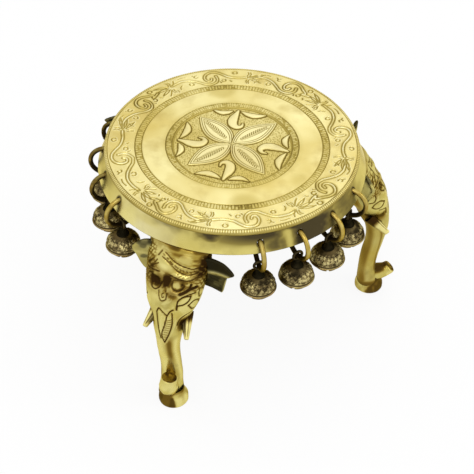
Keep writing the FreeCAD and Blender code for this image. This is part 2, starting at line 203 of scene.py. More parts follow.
# Points along a given line, evenly spaced, on a smooth curve through its corners.
def drawnLine(corners, spacing=0.3):
    corners = np.asarray(corners, float)
    if len(corners) == 1:
        return corners
    run = runAlong(corners)
    steps = max(2, int(run[-1] / spacing) + 1)
    return smoothThrough(run, corners, np.linspace(0.0, run[-1], steps))


# How near each point is to a line, as distance less the line's half width there (negative inside).
def nearLine(points, line, halfWidth=0.0):
    line = np.atleast_2d(line)
    halfWidth = np.broadcast_to(np.asarray(halfWidth, float), (len(line),))
    reach = halfWidth.max() + 1.5
    result = np.full(len(points), 9.0)
    near = np.all((points > line.min(0) - reach) & (points < line.max(0) + reach), axis=1)
    close = points[near]
    if not len(close):
        return result
    best = np.full(len(close), 9.0)
    for start in range(0, len(line), 24):
        stretch = line[start:start + 24]
        gap = np.linalg.norm(close[:, None, :] - stretch[None], axis=2) - halfWidth[None, start:start + 24]
        best = np.minimum(best, gap.min(1))
    result[near] = best
    return result


# Quads between neighbouring points of a grid stored row by row, whose last column joins its first.
def gridQuads(rows, columns, first=0):
    row = np.arange(rows - 1)[:, None]
    column = np.arange(columns)[None, :]
    a = row * columns + column
    b = row * columns + (column + 1) % columns
    return np.stack([a, b, b + columns, a + columns], -1).reshape(-1, 4) + first


# A fan of triangles from one middle point to a ring of points.
def fan(middle, ring, turnedOver=False):
    following = np.roll(ring, -1)
    order = [following, ring] if turnedOver else [ring, following]
    return np.stack([np.full(len(ring), middle)] + order, -1)


# One flat face over a ring of points.
def cap(first, columns, turnedOver=False):
    ring = first + np.arange(columns)
    return (ring[::-1] if turnedOver else ring)[None]


# Puts a shape into Blender: points in mm, arrays of faces that have the same number of corners, and two numbers at
# each point: its patina together with painted shade, and its rubbed brightness together with painted highlights.
def makePiece(name, points, faces, body, material, replaced=(), ageAndShade=None, shine=None):
    points = np.asarray(points, float).reshape(-1, 3)
    corners = np.concatenate([face.reshape(-1) for face in faces]).astype(np.int32)
    counts = np.concatenate([np.full(len(face), face.shape[1]) for face in faces]).astype(np.int32)
    mesh = bpy.data.meshes.new(name)
    mesh.vertices.add(len(points))
    mesh.vertices.foreach_set("co", (points * mm).astype(np.float32).reshape(-1))
    mesh.loops.add(len(corners))
    mesh.loops.foreach_set("vertex_index", corners)
    mesh.polygons.add(len(counts))
    mesh.polygons.foreach_set("loop_start", (np.cumsum(counts) - counts).astype(np.int32))
    mesh.polygons.foreach_set("use_smooth", np.ones(len(counts), bool))
    for attribute, values in (("ageAndShade", ageAndShade), ("shine", shine)):
        layer = mesh.attributes.new(attribute, "FLOAT", "POINT")
        data = np.zeros(len(points), np.float32) if values is None else np.asarray(values, np.float32).reshape(-1)
        layer.data.foreach_set("value", data)
    mesh.update(calc_edges=True)
    mesh.validate()
    piece = bpy.data.objects.new(name, mesh)
    bpy.context.scene.collection.objects.link(piece)
    mesh.materials.append(material)
    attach(piece, body)
    if replaced:
        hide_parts(*replaced)


# Turns points round the table's upright axis.
def turned(points, azimuth):
    c, s = math.cos(math.radians(azimuth)), math.sin(math.radians(azimuth))
    x, y, z = points[..., 0], points[..., 1], points[..., 2]
    return np.stack([x * c - y * s, x * s + y * c, z], -1)


# Unit normals of a grid of points whose columns go right round.
def gridNormals(points):
    down = np.gradient(points, axis=0)
    along = np.roll(points, -1, axis=1) - np.roll(points, 1, axis=1)
    normal = np.cross(along, down)
    return normal / np.maximum(np.linalg.norm(normal, axis=-1, keepdims=True), 1e-9)


# How hollow a grid is at each point, in mm: how far the neighbours a few rows and columns away stand above it.
def hollows(points, normals, rows, columns):
    padded = np.concatenate([points[:1].repeat(rows, 0), points, points[-1:].repeat(rows, 0)])
    besides = np.roll(points, columns, 1) + np.roll(points, -columns, 1)
    mean = (padded[:-2 * rows] + padded[2 * rows:]) / 4 + besides / 4
    return ((mean - points) * normals).sum(-1)


# A profile of (radius, height) pairs carried round an upright axis.
def turnedProfile(profile, columns):
    profile = np.asarray(profile, float)
    angle = roundAngles(columns)
    radius = profile[:, 0][:, None]
    return np.stack([radius * np.cos(angle), radius * np.sin(angle), profile[:, 1][:, None] + 0 * angle], -1)


# A round tube along a path: rings of points square to it, each with its own radius. Angles start at the side that is
# square to the path and to the hint.
def tube(path, radii, columns, upHint):
    path = np.asarray(path, float)
    along = np.gradient(path, axis=0)
    along /= np.linalg.norm(along, axis=1, keepdims=True)
    side = np.cross(along, np.asarray(upHint, float))
    side /= np.maximum(np.linalg.norm(side, axis=1, keepdims=True), 1e-9)
    lift = np.cross(side, along)
    angle = roundAngles(columns)
    radii = np.asarray(radii, float)
    radii = radii[:, None] if radii.ndim == 1 else radii
    return (
        path[:, None, :]
        + side[:, None, :] * (radii * np.cos(angle))[..., None]
        + lift[:, None, :] * (radii * np.sin(angle))[..., None]
    )


# Old brass: polished metal that browns where the age number (patina and painted shade) is high and pales where the
# shine number (rubbing and painted highlights) is high, with soft clouds of tarnish, uneven gloss and a fine grain.
def agedBrass(name, look):
    material = bpy.data.materials.new(name)
    material.use_nodes = True
    tree = material.node_tree
    shader = tree.nodes["Principled BSDF"]
    shader.inputs["Metallic"].default_value = 1.0
    shader.inputs["Specular Tint"].default_value = look["edge"] + (1.0,)
    place = tree.nodes.new("ShaderNodeTexCoord")

    def noise(scale, detail, roughness=0.55):
        node = tree.nodes.new("ShaderNodeTexNoise")
        node.inputs["Scale"].default_value = scale
        node.inputs["Detail"].default_value = detail
        node.inputs["Roughness"].default_value = roughness
        tree.links.new(place.outputs["Object"], node.inputs["Vector"])
        return node.outputs["Fac"]

    def spread(value, low, high, least=0.0, most=1.0):
        node = tree.nodes.new("ShaderNodeMapRange")
        node.inputs["From Min"].default_value = low
        node.inputs["From Max"].default_value = high
        node.inputs["To Min"].default_value = least
        node.inputs["To Max"].default_value = most
        tree.links.new(value, node.inputs["Value"])
        return node.outputs["Result"]

    def blended(share, first, second):
        node = tree.nodes.new("ShaderNodeMix")
        node.data_type = "RGBA"
        tree.links.new(share, node.inputs["Factor"])
        for value, socket in ((first, node.inputs["A"]), (second, node.inputs["B"])):
            if isinstance(value, tuple):
                socket.default_value = value + (1.0,)
            else:
                tree.links.new(value, socket)
        return node.outputs["Result"]

    def attribute(word):
        node = tree.nodes.new("ShaderNodeAttribute")
        node.attribute_name = word
        return node.outputs["Fac"]

    ageAndShade, shine = attribute("ageAndShade"), attribute("shine")
    colour = blended(spread(noise(look["cloudScale"], 3.0), 0.38, 0.66), look["light"], look["warm"])
    stained = spread(noise(look["cloudScale"] * 3.1, 4.0), 0.5, 0.78, 0.0, look["stain"])
    colour = blended(stained, colour, look["olive"])
    colour = blended(spread(ageAndShade, 0.0, 0.5), colour, look["gold"])
    colour = blended(spread(ageAndShade, 0.35, 0.92), colour, look["brown"])
    colour = blended(spread(shine, 0.0, 1.0), colour, look["bright"])
    tree.links.new(colour, shader.inputs["Base Color"])
    rough = tree.nodes.new("ShaderNodeMath")
    rough.operation = "ADD"
    rough.use_clamp = True
    uneven = noise(look["cloudScale"] * 2.0, 5.0)
    tree.links.new(spread(uneven, 0.3, 0.7, look["rough"] - 0.05, look["rough"] + 0.07), rough.inputs[0])
    tree.links.new(spread(ageAndShade, 0.0, 1.0, 0.0, 0.35), rough.inputs[1])
    tree.links.new(rough.outputs["Value"], shader.inputs["Roughness"])
    bump = tree.nodes.new("ShaderNodeBump")
    bump.inputs["Strength"].default_value = look["grain"]
    bump.inputs["Distance"].default_value = 0.0002
    tree.links.new(noise(look["grainScale"], 6.0, 0.7), bump.inputs["Height"])
    tree.links.new(bump.outputs["Normal"], shader.inputs["Normal"])
    return material


topLook = {
    "edge": (1.0, 0.95, 0.75),
    "light": (0.90, 0.81, 0.39),
    "warm": (0.69, 0.55, 0.17),
    "olive": (0.44, 0.31, 0.07),
    "gold": (0.52, 0.41, 0.095),
    "brown": (0.22, 0.155, 0.03),
    "bright": (0.93, 0.87, 0.52),
    "cloudScale": 17.0,
    "stain": 0.6,
    "rough": 0.33,
    "grain": 0.25,
    "grainScale": 1400.0,
}
apronLook = {
    "edge": (1.0, 0.92, 0.65),
    "light": (0.74, 0.64, 0.20),
    "warm": (0.55, 0.44, 0.09),
    "olive": (0.28, 0.21, 0.05),
    "gold": (0.34, 0.27, 0.065),
    "brown": (0.085, 0.066, 0.03),
    "bright": (0.85, 0.80, 0.50),
    "cloudScale": 26.0,
    "stain": 0.5,
    "rough": 0.27,
    "grain": 0.2,
    "grainScale": 1200.0,
}
legLook = {
    "edge": (0.9, 0.82, 0.5),
    "light": (0.62, 0.55, 0.18),
    "warm": (0.56, 0.45, 0.095),
    "olive": (0.27, 0.21, 0.055),
    "gold": (0.29, 0.18, 0.024),
    "brown": (0.042, 0.02, 0.005),
    "bright": (0.90, 0.81, 0.33),
    "cloudScale": 45.0,
    "stain": 0.6,
    "rough": 0.26,
    "grain": 0.25,
    "grainScale": 1200.0,
}
ringLook = {
    "edge": (0.7, 0.58, 0.3),
    "light": (0.54, 0.40, 0.09),
    "warm": (0.42, 0.28, 0.055),
    "olive": (0.18, 0.12, 0.03),
    "gold": (0.24, 0.16, 0.035),
    "brown": (0.03, 0.02, 0.008),
    "bright": (0.80, 0.66, 0.20),
    "cloudScale": 90.0,
    "stain": 0.5,
    "rough": 0.28,
    "grain": 0.3,
    "grainScale": 1500.0,
}
bellLook = {
    "edge": (0.25, 0.21, 0.12),
    "light": (0.36, 0.28, 0.11),
    "warm": (0.24, 0.155, 0.055),
    "olive": (0.15, 0.125, 0.055),
    "gold": (0.085, 0.062, 0.026),
    "brown": (0.014, 0.012, 0.006),
    "bright": (0.62, 0.53, 0.24),
    "cloudScale": 120.0,
    "stain": 0.6,
    "rough": 0.34,
    "grain": 0.35,
    "grainScale": 1800.0,
}
earLook = dict(legLook, gold=(0.23, 0.20, 0.075), brown=(0.03, 0.026, 0.013))
screwLook = dict(legLook, light=(0.42, 0.40, 0.34), warm=(0.34, 0.31, 0.25), olive=(0.2, 0.18, 0.14), rough=0.35)
pelletLook = dict(bellLook, light=(0.16, 0.14, 0.12), warm=(0.11, 0.09, 0.07), rough=0.6)
topBrass = agedBrass("topBrass", topLook)
apronBrass = agedBrass("apronBrass", apronLook)
legBrass = agedBrass("legBrass", legLook)
ringBrass = agedBrass("ringBrass", ringLook)
bellBrass = agedBrass("bellBrass", bellLook)
earBrass = agedBrass("earBrass", earLook)
screwSteel = agedBrass("screwSteel", screwLook)
pelletIron = agedBrass("pelletIron", pelletLook)
print("materials mixed")


# The medallion: four raised leaves in a cross, a curled sprig in each gap, a dotted ground, and a milled ring round
# it. It is a polar grid whose height is that of the highest form at each point, all sunk below the plain ring.
medallion = {
    "radius": 34.9,
    "outer": 39.4,
    "sunk": 0.9,
    "dotSpacing": 1.15,
    "leafTurns": (120.0, 29.0, 210.0, 297.0),
    "leafLength": (32.0, 33.0, 32.0, 33.0),
    "leafHalfWidth": 7.6,
    "leafRise": 0.62,
    "sprigTurns": (255.0, 167.0, 78.0, 345.0),
    "sprigRise": 0.66,
    "flowerCentre": (0.0, 0.9),
    "milledInner": 35.3,
    "milledOuter": 39.0,
    "beads": 176,
    "columns": 600,
}
# A sprig's lines as (outward, sideways) corners in mm with half widths: the curl towards the middle, then a leaf on
# either side of it
sprigLines = [
    ([(32.0, -1.0), (28.5, 0.0), (25.0, 1.2), (21.5, 1.7), (18.2, 0.9), (16.4, -1.6), (17.6, -4.0), (20.2, -4.6)],
     [0.9, 1.6, 2.5, 3.0, 2.8, 2.1, 1.3, 0.6]),
    ([(31.2, -3.0), (29.0, -7.0), (27.9, -11.0), (28.2, -14.5), (29.2, -18.0)], [0.5, 1.7, 2.3, 1.6, 0.3]),
    ([(31.4, 2.4), (29.8, 5.6), (29.4, 8.6), (30.2, 11.4), (31.6, 14.0)], [0.5, 1.6, 1.9, 1.2, 0.3]),
]


def makeMedallion():
    outer, columns = medallion["outer"], medallion["columns"]
    rows = np.concatenate([np.arange(0.4, 34.2, 0.27), np.arange(34.2, 35.2, 0.16), np.arange(35.2, outer, 0.21)])
    rows = np.append(rows[rows < outer - 0.1], outer)
    radius, turn = np.meshgrid(rows, roundAngles(columns), indexing="ij")
    x, y = radius * np.cos(turn), radius * np.sin(turn)
    inside = ramp(medallion["radius"] + 0.25, medallion["radius"] - 0.25, radius)
    rise, ageAndShade, shine = (np.zeros(radius.shape) for _ in range(3))
    # the ground: rows of small punched dots
    dots, mark, _ = scatter(x, y, medallion["dotSpacing"], 5)
    pit = ramp(0.42, 0.2, dots) * (mark > 0.25)
    rise -= 0.12 * pit
    ageAndShade += 0.5 * pit + 0.2
    # the sprigs
    for index, azimuth in enumerate(medallion["sprigTurns"]):
        local = np.stack(alongAcross(x.reshape(-1), y.reshape(-1), azimuth), -1)
        best = np.full(len(local), 9.0)
        for corners, widths in sprigLines:
            line = drawnLine(np.asarray(corners) * (1.0 + 0.015 * (index - 1.5)), 0.25)
            width = np.interp(np.linspace(0, 1, len(line)), np.linspace(0, 1, len(widths)), widths)
            best = np.minimum(best, nearLine(local, line, width))
        best = best.reshape(radius.shape)
        plateau = ramp(0.18, -0.5, best)
        pillow = 0.75 + 0.25 * ramp(0.0, -2.0, best)
        rise = np.maximum(rise, medallion["sprigRise"] * plateau * pillow)
        # painted shade: a dark rim round the foot of the raised sprig
        rim = ramp(0.85, 0.15, best) * ramp(-0.45, 0.0, best)
        ageAndShade = ageAndShade * (1.0 - plateau) + 0.85 * rim
        shine = np.maximum(shine * (1.0 - rim), 0.3 * ramp(-0.2, -1.2, best))
    # the leaves: a lens-shaped plateau with a second outline inside it and a herringbone of nicks along its middle
    middleX, middleY = medallion["flowerCentre"]
    for azimuth, length in zip(medallion["leafTurns"], medallion["leafLength"]):
        along, across = alongAcross(x - middleX, y - middleY, azimuth)
        across = np.abs(across)
        share = np.clip(along / length, 0.0, 1.0)
        halfWidth = medallion["leafHalfWidth"] * np.sin(math.pi * share**0.86) ** 0.92
        within = np.where((along > 0) & (along < length), halfWidth - across, -9.0)
        plateau = ramp(-0.05, 0.4, within)
        rise = np.maximum(rise * (1.0 - plateau), medallion["leafRise"] * plateau)
        # painted shade: a dark band round the leaf's outline at the foot of its plateau
        edge = ramp(-0.9, -0.1, within) * ramp(0.3, -0.1, within)
        secondLine = ramp(0.42, 0.1, np.abs(within - 1.25))
        innerLine = ramp(0.42, 0.1, np.abs(within - 2.7))
        nicks = np.abs((along - 0.9 * across) % 1.55 - 0.775)
        onVein = (across < 1.9 * np.sin(math.pi * share)) * ramp(5.0, 7.0, along) * ramp(27.5, 25.0, along)
        cut = np.maximum(np.maximum(secondLine, 0.85 * innerLine), 0.9 * ramp(0.24, 0.5, nicks) * onVein)
        cut = cut * (within > 0.3)
        rise -= 0.3 * cut * plateau
        onLeaf = plateau > 0.5
        ageAndShade = np.where(onLeaf, 0.85 * cut, np.maximum(ageAndShade, 0.95 * edge))
        shine = np.where(onLeaf, 0.35 * (1 - cut) * ramp(0.3, 0.8, within), shine * (1 - edge))
    # the small boss where the leaves meet
    fromMiddle = np.hypot(x - middleX, y - middleY)
    petals = 1.5 + 0.5 * np.cos(4 * np.arctan2(y - middleY, x - middleX))
    rise = np.where(fromMiddle < 2.4, 0.5 + 0.25 * ramp(petals + 0.2, petals - 0.5, fromMiddle), rise)
    ageAndShade = np.maximum(ageAndShade, 0.6 * ramp(0.35, 0.05, np.abs(fromMiddle - petals)))
    height = inside * (rise - medallion["sunk"])
    # painted shade in the corner where the sunk ground meets its wall
    corner = ramp(1.0, 0.2, np.abs(radius - (medallion["radius"] - 0.4))) * (1.0 - ramp(0.2, 0.5, rise))
    milledHeight, milledAge = milledRing(radius, turn, medallion, 3)
    height += milledHeight
    ageAndShade = np.maximum(np.maximum(ageAndShade * inside, 0.5 * corner), milledAge)
    points = np.concatenate([np.stack([x, y, height], -1).reshape(-1, 3), [[0.0, 0.0, height[0].mean()]]])
    faces = [gridQuads(len(rows), columns)[:, ::-1], fan(len(points) - 1, np.arange(columns))]
    ageAndShade, shine = np.append(ageAndShade, 0.4), np.append(shine * inside, 0.3)
    makePiece("topMedallion", points, faces, "table", topBrass, ["top_plate"], ageAndShade, shine)


# A milled ring: two cut circles with short cross cuts between them, a little uneven as if struck by hand.
def milledRing(radius, turn, ring, seed):
    inner, outer = ring["milledInner"], ring["milledOuter"]
    wander = np.stack([np.cos(turn) * 6, np.sin(turn) * 6, 0 * turn], -1)
    shift = (clouds(wander, 1.0, seed) - 0.5) * 0.9
    wave = np.abs(((turn * ring["beads"] / (2 * math.pi) + shift) % 1.0) - 0.5) * 2.0
    band = ramp(inner, inner + 0.35, radius) * ramp(outer, outer - 0.35, radius)
    cuts = ramp(0.42, 0.85, wave) * band
    circles = np.maximum(ramp(0.5, 0.12, np.abs(radius - inner)), ramp(0.5, 0.12, np.abs(radius - outer)))
    middle = (inner + outer) / 2
    crown = np.clip(1 - ((radius - middle) / (outer - inner) * 2) ** 2, 0, 1) * band
    fade = 0.55 + 0.45 * clouds(wander * 0.5, 1.0, seed + 7)
    grain = np.stack([radius * np.cos(turn), radius * np.sin(turn), 0 * turn], -1)
    fleck = ramp(0.5, 0.75, clouds(grain, 1.1, seed + 9)) * band
    dark = np.maximum(np.maximum(0.9 * circles, 0.75 * cuts), np.maximum(0.2 * band, 0.6 * fleck))
    return -0.36 * circles - 0.34 * cuts * fade + 0.14 * crown - 0.08 * fleck, dark * fade


# The plain ring and the milled ring outside it, a flat polar grid.
plainRing = {
    "inner": 39.4,
    "outer": 57.3,
    "milledInner": 53.0,
    "milledOuter": 56.9,
    "beads": 196,
    "columns": 1200,
}


def makePlainRing():
    inner, outer, columns = plainRing["inner"], plainRing["outer"], plainRing["columns"]
    rows = np.concatenate([np.linspace(inner, 40.6, 4), np.linspace(42.0, 52.0, 8), np.linspace(52.4, outer, 26)])
    radius, turn = np.meshgrid(rows, roundAngles(columns), indexing="ij")
    height, ageAndShade = milledRing(radius, turn, plainRing, 11)
    x, y = radius * np.cos(turn), radius * np.sin(turn)
    cloudy = clouds(np.stack([x, y, 0 * x], -1), 17.0, 15)
    ageAndShade = ageAndShade + 0.22 * ramp(0.5, 0.85, cloudy) + 0.12 * ramp(42.0, 39.6, radius)
    faces = [gridQuads(len(rows), columns)[:, ::-1]]
    makePiece("topPlainRing", np.stack([x, y, height], -1), faces, "table", topBrass, ageAndShade=ageAndShade)


# The vine band: eight sprays with a running scroll between each two. It is a flat polar grid, cut in where a point is
# near a line's edge and a little raised between the two edges of a stem.
vineBand = {
    "inner": 57.3,
    "outer": 72.7,
    "middle": 65.0,
    "sprays": (-148.0, -107.5, -64.5, -17.2, 28.7, 74.3, 118.0, 162.0),
    "stretch": 51.0,
    "cut": 0.5,
    "raise": 0.16,
    "stemHalfWidth": 0.85,
    "rows": 56,
    "columns": 1560,
}


# Points along an arc round a centre, from one angle to another in degrees.
def arcPoints(centre, radius, start, end):
    angle = np.radians(np.linspace(start, end, 12))
    return np.stack([centre[0] + radius * np.cos(angle), centre[1] + radius * np.sin(angle)], -1)


# Lines of one stretch of vine, in mm along and across the band, for a stretch 51 mm long. An even stretch starts
# from a spray whose leaves point back, an odd one from a spray whose leaves point on.
def vineStretch(odd):
    start = 9.5 if odd else 1.0
    stems = [
        [(start, 0.9), (start + 2.5, 0.0), (start + 5.0, -0.4), (13.2, 0.9), (16.5, 3.4), (19.5, 5.4), (22.6, 6.0),
         (25.4, 4.9), (27.2, 2.4), (27.4, -0.6), (25.9, -2.5), (24.0, -2.1), (23.4, -0.5)],
        [(20.3, 1.9), (19.6, -1.2), (20.7, -4.1), (23.8, -5.9), (28.0, -5.4), (32.0, -2.4), (36.0, 0.6), (40.0, 2.2),
         (45.0, 2.4), (49.5, 1.6)],
    ]
    singles = [
        arcPoints((12.4, 5.2) if odd else (8.4, 4.6), 1.35, -70, 230),
        arcPoints((15.6, -2.9), 1.3, 60, 350),
        arcPoints((37.4, -2.6), 1.35, 130, 420),
        arcPoints((32.4, 3.8), 1.2, -120, 100),
        [(34.5, 5.6), (33.6, 4.4)],
        [(38.5, 5.4), (41.0, 5.9), (43.6, 5.5)],
        [(10.5, -4.4), (11.6, -3.2)],
        [(17.6, -5.2), (18.4, -4.0)],
        [(44.0, -1.2), (45.6, -2.6), (46.0, -4.4)],
    ]
    side = 1.0 if odd else -1.0
    for (fromA, fromB), (toA, toB) in (((1.2, 1.6), (9.6, 5.2)), ((1.6, 0.5), (9.8, 1.3)), ((1.2, -0.6), (8.8, -3.4))):
        for bulge in (0.95, -0.75):
            middle = (side * (fromA + toA) / 2, (fromB + toB) / 2 + bulge)
            singles.append([(side * fromA, fromB), middle, (side * toA, toB)])
    for shift in (-0.8, 0.5):
        singles.append([(shift, 2.6), (shift - 0.5, 4.2), (shift + 0.1, 6.0)])
        singles.append([(shift, -1.4), (shift + 0.4, -3.2), (shift - 0.3, -5.2)])
    if odd:
        singles.append([(-1.6, 1.6), (-3.6, 4.0), (-4.2, 5.8)])
        singles.append([(-0.6, -1.8), (-2.4, -4.2), (-2.2, -6.0)])
        singles.append([(1.0, -1.6), (3.0, -4.4), (5.0, -6.2)])
    return stems, singles


def makeVineBand():
    rows = np.linspace(vineBand["inner"], vineBand["outer"], vineBand["rows"])
    middle, stretch, sprays, columns = (vineBand[word] for word in ("middle", "stretch", "sprays", "columns"))
    radius, turn = np.meshgrid(rows, np.linspace(-math.pi, math.pi, columns, endpoint=False), indexing="ij")
    x, y = radius * np.cos(turn), radius * np.sin(turn)
    plane = np.stack([x, y, 0 * x], -1)
    wander = np.stack([np.cos(turn) * 20, np.sin(turn) * 20, 0 * turn + radius * 0.12], -1)
    wobble = (clouds(wander, 1.0, 21) - 0.5) * 0.9
    depth, halo, raised = (np.zeros(radius.shape) for _ in range(3))
    for index, azimuth in enumerate(sprays):
        following = sprays[(index + 1) % len(sprays)]
        length = math.radians((following - azimuth) % 360.0) * middle
        away = signedTurn(turn - math.radians(azimuth))
        along = away * middle * np.where(away > 0, stretch / length, 1.0) + wobble * 0.6
        across = radius - middle + wobble * 0.5
        chosen = (along > -11.0) & (along < stretch + 2.0)
        local = np.stack([along[chosen], across[chosen]], -1)
        cut, soft, core = (np.zeros(len(local)) for _ in range(3))
        stems, singles = vineStretch(index % 2 == 0)
        for line in stems:
            gap = nearLine(local, drawnLine(line))
            cut = np.maximum(cut, ramp(0.58, 0.1, np.abs(gap - vineBand["stemHalfWidth"])))
            soft = np.maximum(soft, ramp(2.6, 0.8, gap))
            core = np.maximum(core, ramp(0.65, 0.1, gap))
        for line in singles:
            gap = nearLine(local, drawnLine(line))
            cut = np.maximum(cut, ramp(0.58, 0.1, gap))
            soft = np.maximum(soft, ramp(1.7, 0.3, gap))
            core = np.maximum(core, 0.7 * ramp(0.5, 0.75, gap) * ramp(1.15, 0.85, gap))
        for whole, part in ((raised, core * (1 - cut)), (depth, cut), (halo, soft)):
            whole[chosen] = np.maximum(whole[chosen], part)
    height = vineBand["raise"] * raised * (1 - depth) - vineBand["cut"] * depth
    patches = ramp(0.35, 0.7, clouds(plane, 13.0, 31))
    darkening = ramp(0.25, 0.75, clouds(plane, 24.0, 32) + 0.3 * np.cos(turn - math.radians(50.0)))
    ageAndShade = depth * (0.5 + 0.16 * patches + 0.16 * darkening) + halo * (1 - depth) * (0.03 + 0.18 * darkening)
    ageAndShade = ageAndShade + 0.06 * patches * darkening
    # paler on the raised stems, as rubbed wear and as a painted highlight
    shine = 0.8 * raised * (1 - depth) * ramp(0.2, 0.6, clouds(plane, 5.0, 33))
    faces = [gridQuads(len(rows), columns)[:, ::-1]]
    makePiece("topVineBand", np.stack([x, y, height], -1), faces, "table", topBrass, ageAndShade=ageAndShade, shine=shine)


# The plate's edge: a fine milled border, the rounded rim, the side and the flat underside, as one turned profile. Six
# round bosses, turned profiles too, are cast under it for the leg screws.
plateEdge = {
    "inner": 72.7,
    "borderLine": 73.0,
    "rounding": 1.0,
    "notches": 330,
    "columns": 1320,
    "bossOutward": 58.5,
    "bossAside": 7.5,
    "bossColumns": 40,
}


def makePlateEdge():
    top, low = table["topRadius"], -table["plateThickness"]
    rounding, line, columns = plateEdge["rounding"], plateEdge["borderLine"], plateEdge["columns"]
    quarter = np.linspace(0.0, math.pi / 2, 8)[1:]
    border = [(r, 0.0) for r in np.linspace(plateEdge["inner"], top - rounding, 8)]
    corner = [(top - rounding + rounding * math.sin(a), -rounding + rounding * math.cos(a)) for a in quarter]
    side = [(top, h) for h in np.linspace(-rounding, low + 0.35, 6)[1:]]
    under = [(top - 0.12, low + 0.1), (top - 0.35, low), (70.0, low), (50.0, low), (25.0, low), (0.5, low)]
    profile = np.array(border + corner + side + under)
    points = turnedProfile(profile, columns)
    angle = roundAngles(columns)[None, :]
    radius, height = (measure[:, None] + 0 * angle for measure in profile.T)
    wander = np.stack([np.cos(angle) * 5, np.sin(angle) * 5, 0 * angle], -1)
    wave = np.abs(((angle * plateEdge["notches"] / (2 * math.pi) + clouds(wander, 1.0, 4)) % 1.0) - 0.5) * 2.0
    notch = ramp(0.5, 0.95, wave) * ramp(line, line + 0.4, radius) * ramp(-1.2, -0.6, height)
    circle = ramp(0.4, 0.1, np.abs(radius - line)) * (height > -0.1)
    # painted shade down the side of the rim and under the plate, beside the dark milled border
    ageAndShade = np.maximum(0.8 * notch, 0.9 * circle) + 0.15 * ramp(73.2, 73.8, radius) + 0.4 * ramp(-0.5, -1.2, height)
    ageAndShade = (ageAndShade + 0.35 * ramp(-2.0, -3.0, height)) * (0.6 + 0.4 * clouds(points, 9.0, 8))
    onSide = radius > 73.6
    normal = np.stack([onSide * np.cos(angle), onSide * np.sin(angle), 1.0 * (height > -0.5)], -1)
    points = points - normal * (0.22 * notch + 0.26 * circle)[..., None]
    points = np.concatenate([points.reshape(-1, 3), [[0.0, 0.0, low]]])
    last = (len(profile) - 1) * columns + np.arange(columns)
    faces = [gridQuads(len(profile), columns)[:, ::-1], fan(len(points) - 1, last, True)]
    makePiece("topEdge", points, faces, "table", topBrass, ageAndShade=np.append(ageAndShade, 0.4))
    bossProfile = [(5.4, low + 0.05), (4.9, low - 0.25), (4.6, low - 0.8), (4.6, -5.15), (4.35, -5.4), (0.4, -5.4)]
    rows, columns = len(bossProfile), plateEdge["bossColumns"]
    bosses, faces, count = [], [], 0
    for azimuth in table["legAzimuths"].values():
        for aside in (-plateEdge["bossAside"], plateEdge["bossAside"]):
            boss = turnedProfile(bossProfile, columns) + np.array([plateEdge["bossOutward"], aside, 0.0])
            bosses.append(turned(boss, azimuth).reshape(-1, 3))
            faces.append(gridQuads(rows, columns, count)[:, ::-1])
            faces.append(cap(count + (rows - 1) * columns, columns, True))
            count += rows * columns
    makePiece("topBosses", np.concatenate(bosses), faces, "table", topBrass, ageAndShade=np.full(count, 0.45))


makeMedallion()
makePlainRing()
makeVineBand()
makePlateEdge()
print("top engraved")


# The apron: a turned, flared band with a rounded lip, a narrow ledge under the plate, and a round hole for each ring.
# Its two sheets are grids without the faces inside the holes, whose edge points move on to the true circle.
apron = {
    "columns": 1296,
    "rows": 34,
    "holeLevel": -8.0,
    "holeRadius": 1.9,
    "lip": 0.7,
    "ledge": [(71.2, -3.25), (64.1, -3.25), (64.0, -3.4), (64.0, -5.2), (64.2, -5.4), (72.4, -5.4)],
    "ledgeColumns": 360,
    # painted shade and painted dark reflections: azimuth, half spread in degrees, reach down from the rim in mm,
    # strength
    "shadeAndDarkReflections": [(-106.5, 6.0, 2.2, 1.0), (-88.0, 6.0, 2.2, 0.9), (-79.0, 4.5, 8.5, 0.85), (-63.0, 15.0, 11.0, 1.25),
               (-40.0, 12.0, 11.0, 0.68), (-124.0, 9.0, 1.2, 0.6), (-170.0, 8.0, 5.0, 0.45), (45.0, 14.0, 8.0, 0.7),
               (82.0, 9.0, 3.5, 0.9), (158.0, 12.0, 6.0, 0.6)],
    # painted highlights, where the darkening is lifted: azimuth, half spread
    "highlightBands": [(-73.0, 2.2), (63.0, 3.0), (170.0, 3.0)],
}


